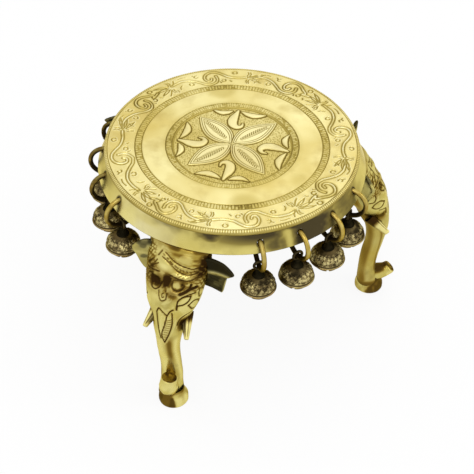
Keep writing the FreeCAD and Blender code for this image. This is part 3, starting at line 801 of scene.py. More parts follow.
def makeApron():
    top, foot = -table["plateThickness"], table["apronFoot"]
    lip, rows, columns = apron["lip"], apron["rows"], apron["columns"]
    holeLevel, holeRadius, hangRadius = apron["holeLevel"], apron["holeRadius"], table["hangRadius"]
    slope = (table["wallFoot"] - table["wallTop"]) / (top - foot)
    level, turn = np.meshgrid(np.linspace(top, foot + lip, rows), roundAngles(columns), indexing="ij")
    kept = np.ones((rows - 1, columns), bool)
    middleLevel = (level[:-1] + level[1:]) / 2
    middleTurn = turn[:-1] + math.pi / columns
    for azimuth in pendants:
        away = signedTurn(middleTurn - math.radians(azimuth))
        kept &= np.hypot(away * hangRadius, middleLevel - holeLevel) > holeRadius
    # points on a hole's edge belong to both a kept and a removed face
    shares = np.zeros(level.shape)
    for rowStep in (0, 1):
        for columnStep in (0, 1):
            shares[rowStep:rowStep + rows - 1] += np.roll(kept, columnStep, axis=1)
    onEdge = (shares > 0) & (shares < 4)
    onEdge[0] = onEdge[-1] = False
    for azimuth in pendants:
        away = signedTurn(turn - math.radians(azimuth))
        up = level - holeLevel
        distance = np.hypot(away * hangRadius, up)
        moved = onEdge & (distance < 2 * holeRadius)
        stretch = np.where(moved, holeRadius / np.maximum(distance, 0.01), 1.0)
        level = np.where(moved, holeLevel + up * stretch, level)
        turn = np.where(moved, turn + away * (stretch - 1.0), turn)

    def wallRadius(inward, height):
        return table["wallTop"] - inward + slope * (top - height)

    def sheet(inward):
        radius = wallRadius(inward, level)
        return np.stack([radius * np.cos(turn), radius * np.sin(turn), level], -1)

    outer, inner = sheet(0.0), sheet(table["wallThickness"])
    # the lip: a half round from the outer face to the inner one
    lipRings = []
    for a in np.linspace(0.0, math.pi, 9)[1:-1]:
        ring = (outer[-1] + inner[-1]) / 2 + (outer[-1] - inner[-1]) / 2 * signedPower(math.cos(a), 0.6)
        ring[:, 2] = outer[-1][:, 2] - lip * math.sin(a) ** 0.7
        lipRings.append(ring)
    lipGrid = np.stack([outer[-1]] + lipRings + [inner[-1]])
    size = level.size
    quads = gridQuads(rows, columns)[kept.reshape(-1)]

    # the walls of the holes join the two sheets along each edge between a kept and a removed face
    def holeWall(a, b, flip):
        wall = np.stack([a, b, b + size, a + size], -1)
        wall[flip] = wall[flip][:, ::-1]
        return wall

    base = np.arange(size).reshape(level.shape)
    nextColumn = np.roll(base, -1, axis=1)
    row, column = np.nonzero(kept != np.roll(kept, 1, axis=1))
    sideWall = holeWall(base[row, column], base[row + 1, column], ~kept[row, column])
    row, column = np.nonzero(kept[1:] != kept[:-1])
    levelWall = holeWall(base[row + 1, column], nextColumn[row + 1, column], kept[row + 1, column])
    lipQuads = gridQuads(len(lipGrid), columns, 2 * size)[:, ::-1]
    points = np.concatenate([outer.reshape(-1, 3), inner.reshape(-1, 3), lipGrid.reshape(-1, 3)])
    ledge = turnedProfile(apron["ledge"], apron["ledgeColumns"])
    ledgeQuads = gridQuads(len(ledge), apron["ledgeColumns"], len(points))[:, ::-1]
    faces = [quads[:, ::-1], quads + size, sideWall, levelWall, lipQuads, ledgeQuads]
    points = np.concatenate([points, ledge.reshape(-1, 3)])
    z = points[:, 2]
    azimuths = np.degrees(np.arctan2(points[:, 1], points[:, 0]))
    cloudy = clouds(points * np.array([1.0, 1.0, 1.8]), 11.0, 41)
    fine = clouds(points * np.array([1.0, 1.0, 1.6]), 5.0, 42)
    finer = clouds(points * np.array([1.0, 1.0, 2.0]), 2.2, 43)
    rimShade = 0.06 + 0.95 * hump(azimuths, -84.0, 25.0) + 0.3 * hump((azimuths + 360.0) % 360.0, 60.0, 60.0)
    ageAndShade = rimShade * ramp(-13.0, -4.0, z) * (0.6 + 0.4 * ramp(0.3, 0.7, cloudy))
    # painted shade under the plate and painted dark reflections, each reaching down from the rim
    for azimuth, spread, reach, strength in apron["shadeAndDarkReflections"]:
        ragged = signedTurn(azimuths - azimuth, 180.0) / spread + 0.6 * (fine - 0.5)
        depth = ramp(-reach - 7.5, -reach - 2.5, z + 3.0 * (fine - 0.5))
        ageAndShade = np.maximum(ageAndShade, strength * hump(ragged, 0.0, 1.0) * depth * (0.8 + 0.25 * finer))
    # painted highlights: upright bands where the darkening is lifted
    for azimuth, spread in apron["highlightBands"]:
        ageAndShade = ageAndShade * (1.0 - 0.85 * hump(signedTurn(azimuths - azimuth, 180.0), 0.0, spread) * ramp(-3.4, -5.5, z))
    # painted shade round each ring hole
    for azimuth in pendants:
        gap = np.hypot(signedTurn(np.radians(azimuths - azimuth)) * hangRadius, z - holeLevel)
        ageAndShade = np.maximum(ageAndShade, 0.85 * ramp(3.4, holeRadius, gap))
    inside = np.hypot(points[:, 0], points[:, 1]) < wallRadius(table["wallThickness"] / 2, z)
    ageAndShade = np.where(inside, np.maximum(ageAndShade, 0.35 + 0.4 * cloudy), ageAndShade)
    # a painted highlight on the apron's outside near azimuth -137 degrees
    shine = 0.5 * hump(azimuths, -137.0, 16.0) * (0.5 + 0.5 * ramp(0.3, 0.6, cloudy)) * ~inside
    shine = shine * (1 - np.clip(ageAndShade, 0, 1))
    makePiece("apronBand", points, faces, "table", apronBrass, ["apron_ring"], ageAndShade, shine)


makeApron()
print("apron turned")


# The legs: an elephant's head whose trunk is the leg. Level sections give the inner face, the outer face and the half
# width in mm at each height; each section is a softly squared oval.
legShape = {
    "levels": (-13.9, -23.94, -32.95, -43.57, -52.01, -61.94, -70.04, -78.02, -87.49, -96.96, -105.98, -115.0, -121.95),
    "inner": (63.3, 64.7, 67.2, 71.0, 75.5, 80.0, 84.0, 86.0, 86.2, 84.8, 83.9, 83.6, 83.5),
    "outer": (79.2, 85.2, 91.0, 95.2, 97.0, 98.8, 99.3, 99.2, 97.2, 95.3, 94.6, 96.0, 98.0),
    "halfWidth": (18.0, 18.6, 18.0, 15.6, 13.0, 10.0, 7.8, 6.65, 6.3, 6.3, 6.45, 6.6, 7.5),
    "squareness": 0.86,
    "rows": 270,
    "columns": 210,
}


def legSection(levels):
    knots = -np.asarray(legShape["levels"])
    inner = smoothThrough(knots, legShape["inner"], -levels)
    outer = smoothThrough(knots, legShape["outer"], -levels)
    width = smoothThrough(knots, legShape["halfWidth"], -levels)
    return (inner + outer) / 2, (outer - inner) / 2, width


# Lifts given points on to the leg: on the face they are (sideways, height), on a cheek (outward, height).
def liftToLeg(points, cheek=0):
    points = np.asarray(points, float)
    centre, halfDepth, halfWidth = legSection(points[:, 1])
    power = legShape["squareness"]
    if cheek:
        share = np.clip((points[:, 0] - centre) / halfDepth, -0.999, 0.999)
        turn = np.arccos(signedPower(share, 1 / power))
        return np.stack([points[:, 0], cheek * halfWidth * np.sin(turn) ** power, points[:, 1]], -1)
    share = np.clip(points[:, 0] / halfWidth, -0.999, 0.999)
    turn = np.arcsin(signedPower(share, 1 / power))
    return np.stack([centre + halfDepth * np.cos(turn) ** power, points[:, 0], points[:, 1]], -1)


# Cut lines of the face as half width and (sideways, height) corners in mm, cut by hand and so not quite even: a
# headband, tufts on one temple, one eye half shut and one open, curls and a leaf, a chevron and long lines below them.
faceLines = {
    "bandMark": (0.5, [(-7.6, -17.5), (-9.2, -20.2)]),
    "bandTop": (0.34, [(-5.4, -17.6), (-2.4, -19.2), (-0.2, -20.4), (2.6, -21.3), (5.3, -21.9), (8.2, -22.3),
                       (11.5, -22.8), (14.5, -22.2)]),
    "bandLow": (0.34, [(-6.4, -20.2), (-3.8, -21.2), (-1.5, -22.4), (0.7, -23.5), (2.9, -24.6), (6.6, -25.7),
                       (10.5, -25.9), (14.0, -24.9)]),
    "brow": (0.42, [(-0.6, -27.6), (3.6, -28.2), (7.0, -28.6), (10.1, -28.8), (12.4, -28.2), (14.2, -27.2)]),
    "tuftA": (0.4, [(-15.8, -27.2), (-13.1, -24.2)]),
    "tuftB": (0.4, [(-12.2, -26.5), (-8.3, -24.0)]),
    "tuftC": (0.42, [(-15.3, -28.8), (-11.5, -28.2), (-6.8, -27.6)]),
    "tuftD": (0.4, [(-13.6, -30.8), (-10.6, -29.4)]),
    "tuftE": (0.34, [(-11.0, -24.9), (-9.4, -22.6)]),
    "tuftF": (0.34, [(-14.6, -25.6), (-11.8, -22.8)]),
    "shutLid": (0.42, [(-11.8, -33.0), (-10.8, -35.8), (-8.2, -37.2), (-5.4, -35.4), (-4.4, -32.4)]),
    "shutLash": (0.36, [(-10.0, -33.4), (-8.6, -35.2), (-6.6, -34.4), (-6.0, -32.4)]),
    "openLid": (0.42, [(2.2, -30.0), (2.0, -32.6), (3.6, -34.5), (6.0, -34.8), (8.2, -33.5), (9.0, -31.6)]),
    "underEye": (0.9, [(7.4, -36.3), (9.8, -35.2), (12.3, -33.3), (15.4, -32.2)]),
    "eyeCorner": (0.7, [(12.2, -33.2), (12.5, -30.6)]),
    "trunkRing": (0.34, [(-4.9, -36.8), (-4.6, -40.0), (-2.8, -42.4), (-0.5, -41.2), (0.2, -38.4), (-0.9, -36.0)]),
    "trunkCurl": (0.26, [(-1.8, -37.4), (-2.9, -38.8), (-2.3, -40.3), (-1.3, -39.5)]),
    "leafTop": (0.38, [(6.6, -43.2), (7.0, -40.4), (9.4, -37.9), (13.3, -37.2)]),
    "leafLow": (0.38, [(13.3, -37.2), (12.4, -40.0), (10.2, -42.0), (6.9, -43.2)]),
    "leafTail": (0.34, [(8.8, -38.0), (11.4, -36.6), (15.2, -35.6)]),
    "leafStem": (0.5, [(6.8, -43.0), (6.7, -45.8)]),
    "chevron": (0.36, [(-5.0, -50.6), (-3.7, -47.6), (-0.8, -49.3), (1.6, -50.6), (3.0, -48.0), (4.8, -46.2)]),
    "stripLeft": (0.34, [(1.7, -50.9), (0.6, -57.6), (-0.7, -66.4), (0.8, -71.0)]),
    "stripRight": (0.34, [(4.4, -48.6), (4.8, -56.5), (3.4, -63.5), (0.8, -71.0)]),
    "longLine": (0.34, [(-4.8, -51.0), (-3.3, -59.4), (-1.4, -68.1)]),
    "foldLeft": (0.34, [(-7.6, -57.5), (-8.2, -54.4), (-9.6, -51.6), (-11.4, -49.7), (-13.4, -49.0)]),
    "foldRight": (0.34, [(7.6, -57.5), (8.2, -54.4), (9.6, -51.6), (11.4, -49.7), (13.4, -49.0)]),
}
# Cut lines of both cheeks as (outward, height) corners: an eye with its lid, an ear lobe, a mouth and the ear's root
cheekLines = {
    "eyeTop": [(84.1, -45.4), (85.6, -42.2), (88.5, -40.8), (91.5, -42.8)],
    "eyeLow": [(84.1, -45.4), (86.6, -47.0), (89.4, -46.6), (91.5, -42.8)],
    "lid": [(79.3, -41.2), (80.4, -38.0), (82.4, -35.3)],
    "lobe": [(84.6, -34.0), (85.6, -37.2), (84.6, -40.4), (81.6, -41.0)],
    "mouth": [(85.4, -61.4), (87.2, -62.6), (89.6, -60.2)],
    "earRoot": [(76.5, -22.0), (78.6, -30.0), (80.0, -38.0)],
}
# Dots between the lines of the headband and under it, and, with half widths, the shut eye's slit and the open eye's
# pupil with a dot beside it
faceDots = {
    "band": [(-6.2, -18.8), (-3.6, -20.0), (-1.6, -21.3), (-0.6, -21.8), (1.8, -22.6), (3.2, -23.2), (5.0, -23.8),
             (6.6, -24.1), (8.6, -24.3), (10.6, -24.4), (12.6, -23.8)],
    "brow": [(6.2, -26.8), (7.6, -27.4), (8.6, -26.7), (10.2, -27.2), (11.4, -26.6), (4.2, -26.4), (5.4, -27.4)],
    "eyes": [(-8.4, -32.0, 1.1), (7.7, -31.2, 0.85), (10.2, -30.3, 0.4)],
}
# Cut lines that one leg alone has, how strong the dirt and painted shade on each leg's face are, and how brown its
# trunk is all over
ownLines = {
    "leg_right": [[(-7.9, -17.1), (-8.2, -22.8), (-7.2, -28.3)], [(-8.6, -28.6), (-5.8, -36.0), (-2.4, -44.4)]],
}
legDirtAndShade = {"leg_right": 0.42, "leg_back": 0.7, "leg_front": 1.0}
trunkShade = {"leg_right": 0.17, "leg_back": 0.1, "leg_front": 0.0}
# Soft forms of the face as sideways, height, spread either way and rise: two domes and a fold on the brow, a fold over
# each eye, a shut eye in its socket, an open eyeball in its own, and a hollow between them
faceForms = [
    (-6.0, -21.0, 5.0, 5.0, 0.9), (6.5, -19.0, 5.5, 3.4, 0.9), (3.5, -23.0, 9.0, 1.4, 0.45),
    (-8.5, -28.6, 4.5, 1.6, 0.9), (7.0, -27.6, 6.0, 1.5, 1.0), (-8.4, -33.0, 3.6, 3.2, -1.9),
    (-8.2, -36.8, 3.4, 1.1, 1.0), (-8.4, -33.8, 2.0, 1.4, 0.5), (5.6, -32.2, 4.4, 3.2, -1.3),
    (5.2, -31.8, 2.4, 2.0, 1.1), (6.0, -36.4, 4.0, 1.0, 0.6), (-1.6, -31.4, 2.2, 4.0, -1.0),
]
# Where brown dirt and painted shade lie on the face, and where painted highlights lie: sideways, height, spread either
# way and strength.
faceDirtAndShade = [
    (-8.6, -32.6, 6.0, 4.6, 1.2), (-1.6, -31.0, 4.0, 4.4, 1.0), (4.0, -29.2, 6.5, 1.5, 0.8),
    (5.2, -35.9, 4.8, 1.6, 0.65), (3.0, -38.4, 4.0, 2.2, 0.6), (11.8, -33.4, 4.0, 2.0, 0.9),
    (-12.8, -26.4, 5.0, 4.4, 0.7), (-15.5, -33.0, 3.4, 5.0, 0.5), (17.5, -21.0, 4.0, 6.5, 1.3),
    (14.6, -26.5, 3.0, 3.4, 0.7), (3.0, -17.2, 9.0, 1.6, 0.5), (9.0, -24.0, 4.0, 1.6, 0.3),
    (7.9, -31.2, 1.7, 1.9, 0.7),
]
faceHighlights = [
    (-9.0, -18.5, 4.5, 2.6, 0.5), (-4.6, -24.8, 4.6, 2.2, 0.8), (-9.3, -29.7, 1.6, 0.9, 0.7),
    (4.6, -31.5, 1.8, 1.6, 0.35), (4.6, -29.8, 3.4, 0.5, 0.35), (-6.5, -41.0, 4.0, 3.0, 0.45),
    (10.5, -27.0, 4.5, 0.9, 0.45), (6.0, -19.6, 5.0, 1.2, 0.35),
]


# The head and trunk: a grid of level rings, pushed out by the soft forms and in by the cut lines.
def makeLeg(name, azimuth, seed):
    rows, columns, power = legShape["rows"], legShape["columns"], legShape["squareness"]
    levels = np.linspace(legShape["levels"][0], legShape["levels"][-1], rows)
    turn = np.linspace(-math.pi, math.pi, columns, endpoint=False)
    centre, halfDepth, halfWidth = (v[:, None] for v in legSection(levels))
    outward = centre + halfDepth * signedPower(np.cos(turn), power)
    base = np.stack([outward, halfWidth * signedPower(np.sin(turn), power), levels[:, None] + 0 * turn], -1)
    normal = gridNormals(base)
    outwards = np.stack([np.cos(turn), np.sin(turn), 0 * turn], -1)[None]
    normal *= np.sign((normal * outwards).sum(-1, keepdims=True))
    t, z = base[..., 1], base[..., 2]
    front = ramp(0.05, 0.5, np.cos(turn))[None] + 0 * t
    outerSide = ramp(-0.45, 0.05, np.cos(turn))[None] + 0 * t

    def bump(spot):
        return hill(t, z, *spot) * outerSide

    form = 0.0 * t
    for *spot, rise in faceForms:
        form += rise * bump(spot)
    # a ridge down the upper trunk, full cheeks that end above the tusks, and a hollow beside each tusk
    form += 0.5 * hump(t, 0.0, 4.5) * ramp(-37.0, -42.0, z) * ramp(-78.0, -70.0, z) * front
    form += hill(np.abs(t), z, 11.0, -45.0, 4.0, 6.0) - 1.5 * hill(np.abs(t), z, 10.2, -57.5, 2.4, 4.0)
    wander = clouds(base, 9.0, seed)
    form += 0.5 * (wander - 0.5)
    speckle = clouds(base, 2.2, seed + 8)
    ageAndShade = 0.0 * t
    # brown dirt on the face, with painted shade under the apron, beside the ear and under the eyes
    for *spot, strength in faceDirtAndShade:
        patch = legDirtAndShade[name] * strength * bump(spot) * (0.7 + 0.6 * speckle)
        ageAndShade = ageAndShade + patch * (1.0 - 0.7 * ageAndShade)
    # golden brown over the forehead
    ageAndShade = np.maximum(ageAndShade, 0.3 * ramp(-30.0, -24.0, z) * ramp(0.35, 0.7, clouds(base, 7.0, seed + 9)) * front)
    # painted shade, nearly black, in the hollows round the tusks and below the apron
    ageAndShade = np.maximum(ageAndShade, (0.4 + 0.7 * legDirtAndShade[name]) * hill(np.abs(t), z, 10.4, -57.5, 2.8, 5.0))
    ageAndShade = np.maximum(ageAndShade, 0.75 * ramp(-17.5, -14.6, z) * ramp(0.3, 0.7, clouds(base, 6.0, seed + 4)))
    flat = base.reshape(-1, 3)
    cut = np.zeros(len(flat))

    def engrave(line, strength, halfWidth, cheek=0):
        gap = nearLine(flat, liftToLeg(drawnLine(line), cheek))
        np.maximum(cut, strength * ramp(halfWidth + 0.3, halfWidth - 0.15, gap), out=cut)

    for halfWidth, line in faceLines.values():
        engrave(line, 1.0, halfWidth)
    for line in cheekLines.values():
        engrave(line, 0.95, 0.36, 1)
        engrave(line, 0.95, 0.36, -1)
    for line in ownLines.get(name, []):
        engrave(line, 1.0, 0.42)
    for a, b in faceDots["band"]:
        engrave([(a, b), (a + 0.6, b - 0.4)], 0.95, 0.3)
    for a, b in faceDots["brow"]:
        engrave([(a, b)], 0.85, 0.34)
    for a, b, halfWidth in faceDots["eyes"]:
        engrave([(a, b)], 1.0, halfWidth)
    # the herringbone strip down the trunk
    for step in range(11):
        b = -53.5 - 1.45 * step
        left = np.interp(b, [-71.0, -66.4, -57.6, -50.9], [0.8, -0.6, 0.7, 1.8])
        right = np.interp(b, [-71.0, -63.5, -56.5, -48.6], [0.8, 3.3, 4.7, 4.3])
        if right - left > 0.8:
            engrave([(left + 0.3, b - 0.9), (right - 0.3, b + 0.5)], 0.75, 0.16)
    # the temples behind the face are punched all over like coarse skin
    dots, _, _ = scatter(flat[:, 0] + flat[:, 1] * 0.4, flat[:, 2], 1.7, seed + 5)
    temple = (ramp(0.42, 0.62, np.abs(np.sin(turn)))[None] + 0 * t).reshape(-1)
    skin = ramp(0.45, 0.75, dots) * temple * ramp(-38.0, -34.0, flat[:, 2]) * ramp(-15.0, -17.0, flat[:, 2])
    cut = np.maximum(cut, 0.62 * skin).reshape(t.shape)
    points = base + normal * (form - 0.34 * cut)[..., None]
    points[0] = base[0]
    ageAndShade = np.maximum(ageAndShade, 0.92 * cut)
    # the hollows are darkened, as patina and as painted shade, and the ridges are rubbed bright
    hollow = hollows(points, normal, 5, 5) - hollows(base, normal, 5, 5)
    broad = hollows(points, normal, 12, 12) - hollows(base, normal, 12, 12)
    ageAndShade = np.maximum(ageAndShade, 0.5 * ramp(0.03, 0.2, hollow) + 0.3 * ramp(0.1, 0.6, broad))
    ridge = ramp(0.03, 0.12, -hollow) * (1 - cut)
    # painted shade and dark reflection: the side of the leg that faces the table's middle is darker
    ageAndShade = np.maximum(ageAndShade, ramp(0.1, -0.7, np.cos(turn))[None] * (0.35 + 0.35 * wander))
    # painted reflections: two dark streaks and two bright ones run down the trunk
    low = ramp(-64.0, -72.0, z) * ramp(-113.0, -108.0, z)
    lean = turn[None] + 0.012 * (z + 90.0)
    streak = 0.62 * hump(lean, 0.6, 0.32) * low * (0.3 + 0.7 * ramp(-93.0, -80.0, z))
    grain = clouds(base * np.array([1.0, 1.0, 0.35]), 4.0, seed + 7)
    ageAndShade = np.maximum(ageAndShade, streak * ramp(0.2, 0.45, grain))
    ageAndShade = np.maximum(ageAndShade, 0.45 * hump(lean, -1.15, 0.2) * low)
    # reddish brown patch above the trunk's tip, painted shade down at the ankle under the tip, and the trunk's own
    # shade
    ageAndShade = np.maximum(ageAndShade, 0.75 * hill(t, z, 0.5, -108.5, 4.5, 1.6) * front)
    ageAndShade = np.maximum(ageAndShade, 0.65 * ramp(-115.5, -120.5, z))
    ageAndShade = np.maximum(ageAndShade, trunkShade[name] * ramp(-58.0, -70.0, z) * (0.6 + 0.8 * wander))
    shine = 0.6 * (hump(lean, -0.25, 0.5) + hump(lean, 1.25, 0.28)) * low
    # painted highlights on the face, which also lift the dirt and shade where they lie
    for *spot, strength in faceHighlights:
        glow = strength * bump(spot)
        shine = np.maximum(shine, glow)
        ageAndShade = ageAndShade * (1.0 - 0.6 * glow)
    shine = np.maximum(shine * (1.0 - np.clip(ageAndShade * 1.4, 0, 1)), 0.35 * ridge * front * (1.0 - ageAndShade))
    ageAndShade = ageAndShade * (1.0 - 0.35 * ridge)
    count, ring = points.size // 3, np.arange(columns)
    faces = [gridQuads(rows, columns)[:, ::-1], fan(count, ring), fan(count + 1, ring + (rows - 1) * columns, True)]
    points = np.concatenate([points.reshape(-1, 3), [base[0].mean(0)], [base[-1].mean(0)]])
    ageAndShade, shine = np.append(ageAndShade, [0.5, 0.5]), np.append(shine, [0.0, 0.0])
    makePiece(name + "Head", turned(points, azimuth), faces, "table", legBrass, [name], ageAndShade, shine)


# The foot: a round pad like a hoof that draws in to the ankle, a turned profile with a cleft in front between the two
# toes and two shallow nail grooves on each side.
footShape = {
    "circle": 91.7,
    "profile": [(0.5, -128.0), (7.6, -128.0), (8.5, -127.8), (9.0, -127.2), (9.05, -125.6), (8.9, -124.2),
                (8.3, -122.9), (7.5, -121.4), (6.9, -119.8), (6.5, -118.4), (6.2, -117.0)],
    "rows": 64,
    "columns": 96,
    # the cleft and the nail grooves: place round the foot in radians, strength
    "grooves": [(0.35, 1.0), (1.2, 0.4), (-0.75, 0.4), (2.0, 0.3), (-1.6, 0.3)],
    "aside": {"leg_right": 0.0, "leg_back": 0.0, "leg_front": 1.8},
}


def makeFoot(name, azimuth, seed):
    profile, columns, circle = np.array(footShape["profile"]), footShape["columns"], footShape["circle"]
    run = runAlong(profile)
    even = np.linspace(0, run[-1], footShape["rows"])
    points = turnedProfile(np.stack([np.interp(even, run, measure) for measure in profile.T], -1), columns)
    turn = roundAngles(columns)[None]
    z = points[..., 2]
    cleft = 0 * turn
    for place, strength in footShape["grooves"]:
        cleft = cleft + strength * hump(signedTurn(turn - place), 0.0, 0.16)
    level = ramp(-127.6, -126.6, z) * ramp(-119.5, -122.5, z)
    depth = 0.85 * cleft * level - 0.8 * hill(turn, z, 1.3, -121.6, 0.5, 1.6)
    out = np.stack([np.cos(turn), np.sin(turn), 0 * turn], -1)
    points = points - out * depth[..., None] + np.array([circle, footShape["aside"][name], 0.0])
    # painted shade on one side of the foot and round its top under the trunk's tip, and a painted highlight on the
    # other side
    ragged = signedTurn(turn) + 0.9 * (clouds(points, 3.0, seed + 2) - 0.5)
    footShade = 0.75 * ramp(0.7, 0.0, ragged) * ramp(-2.1, -1.3, ragged) + 0.5 * ramp(-119.5, -117.5, z)
    ageAndShade = np.clip(0.9 * cleft * level + 0.35 * ramp(0.35, 0.65, clouds(points, 4.5, seed)) + footShade, 0, 0.92)
    shine = 0.6 * ramp(0.3, 0.8, ragged) * ramp(2.0, 1.3, ragged) * level * (1 - np.clip(0.9 * cleft, 0, 1))
    ageAndShade = np.clip(0.85 * ageAndShade - shine, 0, 1)
    grid = points.reshape(-1, 3)
    faces = [gridQuads(len(even), columns), fan(len(grid), np.arange(columns), True)]
    points = turned(np.concatenate([grid, [[circle, 0.0, table["floor"]]]]), azimuth)
    ageAndShade, shine = np.append(ageAndShade, 0.5), np.append(shine, 0.0)
    makePiece(name + "Foot", points, faces, "table", legBrass, ageAndShade=ageAndShade, shine=shine)


# The trunk's tip: a tapering tube that curls out over the foot along a quadratic curve and ends in a blunt, rough
# face. The castings were finished by hand, so each leg has its own end point (outward, sideways, up) and end radius.
trunkTip = {
    "start": (86.6, 0.0, -115.0),
    "bend": {"leg_right": (99.0, 0.0, -118.2), "leg_back": (98.0, 0.0, -117.6), "leg_front": (99.6, 0.6, -117.6)},
    "ends": {"leg_right": (104.8, 0.0, -112.4), "leg_back": (103.6, -0.6, -110.4), "leg_front": (97.8, 2.2, -102.6)},
    "radius": 5.6,
    "endRadius": {"leg_right": 4.4, "leg_back": 4.4, "leg_front": 4.9},
    "rounding": 0.9,
    "columns": 72,
}


def makeTrunkTip(name, azimuth, seed):
    nearEnd = 1.0 - 0.07 * (1 - np.sin(np.linspace(0.0, 1.5, 12)))
    share = np.concatenate([np.linspace(0.0, 0.93, 40), nearEnd])[:, None]
    start, bend, end = (np.array(v) for v in (trunkTip["start"], trunkTip["bend"][name], trunkTip["ends"][name]))
    path = (1 - share) ** 2 * start + 2 * share * (1 - share) * bend + share**2 * end
    run, body, columns = runAlong(path), len(path), trunkTip["columns"]
    radii = trunkTip["radius"] + (trunkTip["endRadius"][name] - trunkTip["radius"]) * ramp(0.0, run[-1], run)
    radii = radii + 0.5 * hump(run / run[-1], 0.55, 0.2) - roundedEnd(run, run[-1], trunkTip["rounding"])
    # the end face closes in three rings, dished a little in the middle
    ahead = (end - bend) / np.linalg.norm(end - bend)
    path = np.concatenate([path, path[-1] + np.array([[0.05], [-0.25], [-0.5]]) * ahead])
    radii = np.concatenate([radii, radii[-1] * np.array([0.8, 0.5, 0.2])])
    grid = tube(path[:body], radii[:body], columns, (0.0, 1.0, 0.0))
    closing = (grid[-1] - path[body - 1]) * (radii[body:] / radii[body - 1])[:, None, None]
    grid = np.concatenate([grid, path[body:, None] + closing])
    out = grid - path[:, None]
    out /= np.maximum(np.linalg.norm(out, axis=-1, keepdims=True), 1e-6)
    rough = clouds(grid, 1.6, seed + 3) - 0.5
    onFace = (np.arange(len(path)) >= body - 3)[:, None] + 0 * rough
    grid = grid + out * (0.25 * rough * (1 - onFace))[..., None] + ahead * (0.35 * rough * onFace)[..., None]
    along = np.concatenate([run, np.full(3, run[-1])])[:, None] + 0 * rough
    upper = out[..., 2]
    # painted shade where the tip leaves the trunk and on its underside
    ageAndShade = 0.85 * onFace * (0.5 + 0.5 * ramp(0.35, 0.6, clouds(grid, 2.0, seed))) + 0.7 * ramp(6.0, 2.0, along)
    browned = ramp(0.25, 0.75, upper) * ramp(2.0, 5.0, along) * ramp(0.25, 0.55, clouds(grid, 3.2, seed + 1))
    ageAndShade = np.maximum(np.maximum(ageAndShade, 0.85 * browned), 0.4 * ramp(-0.2, -0.8, upper))
    # a painted highlight on the lower outer side
    brightened = ramp(0.35, -0.1, upper) * ramp(-0.85, -0.5, upper) * ramp(9.0, 12.0, along) * (1 - onFace)
    shine = 0.5 * brightened * ramp(0.3, 0.6, clouds(grid, 4.0, seed + 4))
    ageAndShade = np.clip(ageAndShade - 0.6 * shine, 0, 0.92)
    faces = [gridQuads(len(path), columns), cap((len(path) - 1) * columns, columns)]
    points, shine = turned(grid.reshape(-1, 3), azimuth), shine * (1 - ageAndShade)
    makePiece(name + "TrunkTip", points, faces, "table", legBrass, ageAndShade=ageAndShade, shine=shine)


# Tusks: short wedge-like bars of oval section, with a blunt end and two grooves along the top. Half sizes are
# (across, up).
tuskShape = {
    "root": (85.5, 9.6, -58.5),
    "droop": 41.0,
    "splay": 18.0,
    "length": 15.1,
    "rootHalf": (3.0, 3.4),
    "tipHalf": (1.25, 1.9),
    "web": 1.3,
    "rounding": 0.7,
    "columns": 48,
    "lift": {"leg_right": -1.2, "leg_back": 0.0, "leg_front": 1.8},
}


def makeTusks(name, azimuth, seed):
    length, rounding, columns = tuskShape["length"], tuskShape["rounding"], tuskShape["columns"]
    angle = roundAngles(columns)[None]
    for side, word in ((1, "Left"), (-1, "Right")):
        yaw, droop = math.radians(side * tuskShape["splay"]), math.radians(tuskShape["droop"])
        reach = np.array([math.cos(droop) * math.cos(yaw), math.cos(droop) * math.sin(yaw), -math.sin(droop)])
        root = np.array(tuskShape["root"]) * np.array([1, side, 1]) + np.array([0.0, 0.0, tuskShape["lift"][name]])
        nearEnd = length - rounding * (1 - np.sin(np.linspace(0.15, 1.5, 8)))
        steps = np.concatenate([np.linspace(-1.5, length - rounding, 26), nearEnd])[:, None]
        cutBack = roundedEnd(steps, length, rounding)
        sizes = zip(tuskShape["rootHalf"], tuskShape["tipHalf"])
        halfWidth, halfHeight = (np.interp(steps, [0.0, length], ends) - cutBack for ends in sizes)
        radii = halfWidth * halfHeight / np.hypot(halfHeight * np.cos(angle), halfWidth * np.sin(angle))
        path = root + steps * reach
        shape = tube(path, radii, columns, (0.0, 0.0, 1.0))
        # a web towards the trunk, widest at the root, makes the tusk a wedge
        outward = np.array([-math.sin(yaw), math.cos(yaw), 0.0]) * side
        lateral = ((shape - path[:, None]) * outward).sum(-1)
        web = np.interp(steps, [0.0, length], [tuskShape["web"], 0.0])
        shape = shape + outward * (np.minimum(lateral, 0.0) * web)[..., None]
        grooveRun = ramp(0.0, 2.0, steps) * ramp(length - 0.6, length - 2.5, steps)
        groove = (hump(angle, 1.25, 0.13) + hump(angle, 1.9, 0.13)) * grooveRun
        out = shape - path[:, None]
        shape = shape - out * (0.14 * groove)[..., None]
        under = ramp(0.2, -0.8, np.sin(angle))
        towardsTrunk = ramp(0.0, 0.75, -side * out[..., 1] / np.maximum(np.linalg.norm(out, axis=-1), 0.01))
        # painted shade at the root, on the underside and on the side towards the trunk
        ageAndShade = 0.8 * groove + ramp(6.5, 1.5, steps) + 0.55 * under + 0.3 * (clouds(shape, 3.0, seed) - 0.4)
        ageAndShade = ageAndShade + 0.9 * towardsTrunk * ramp(length - 1.0, length - 5.0, steps)
        ageAndShade = np.clip(np.maximum(ageAndShade, 0.6 * ramp(length - 0.5, length - 0.1, steps)), 0, 0.95)
        shine = 0.8 * ramp(3.0, 7.0, steps) * (1 - ageAndShade)
        faces = [gridQuads(len(path), columns)[:, ::-1], cap((len(path) - 1) * columns, columns, True)]
        points = turned(shape.reshape(-1, 3), azimuth)
        makePiece(name + word + "Tusk", points, faces, "table", legBrass, ageAndShade=ageAndShade, shine=shine)


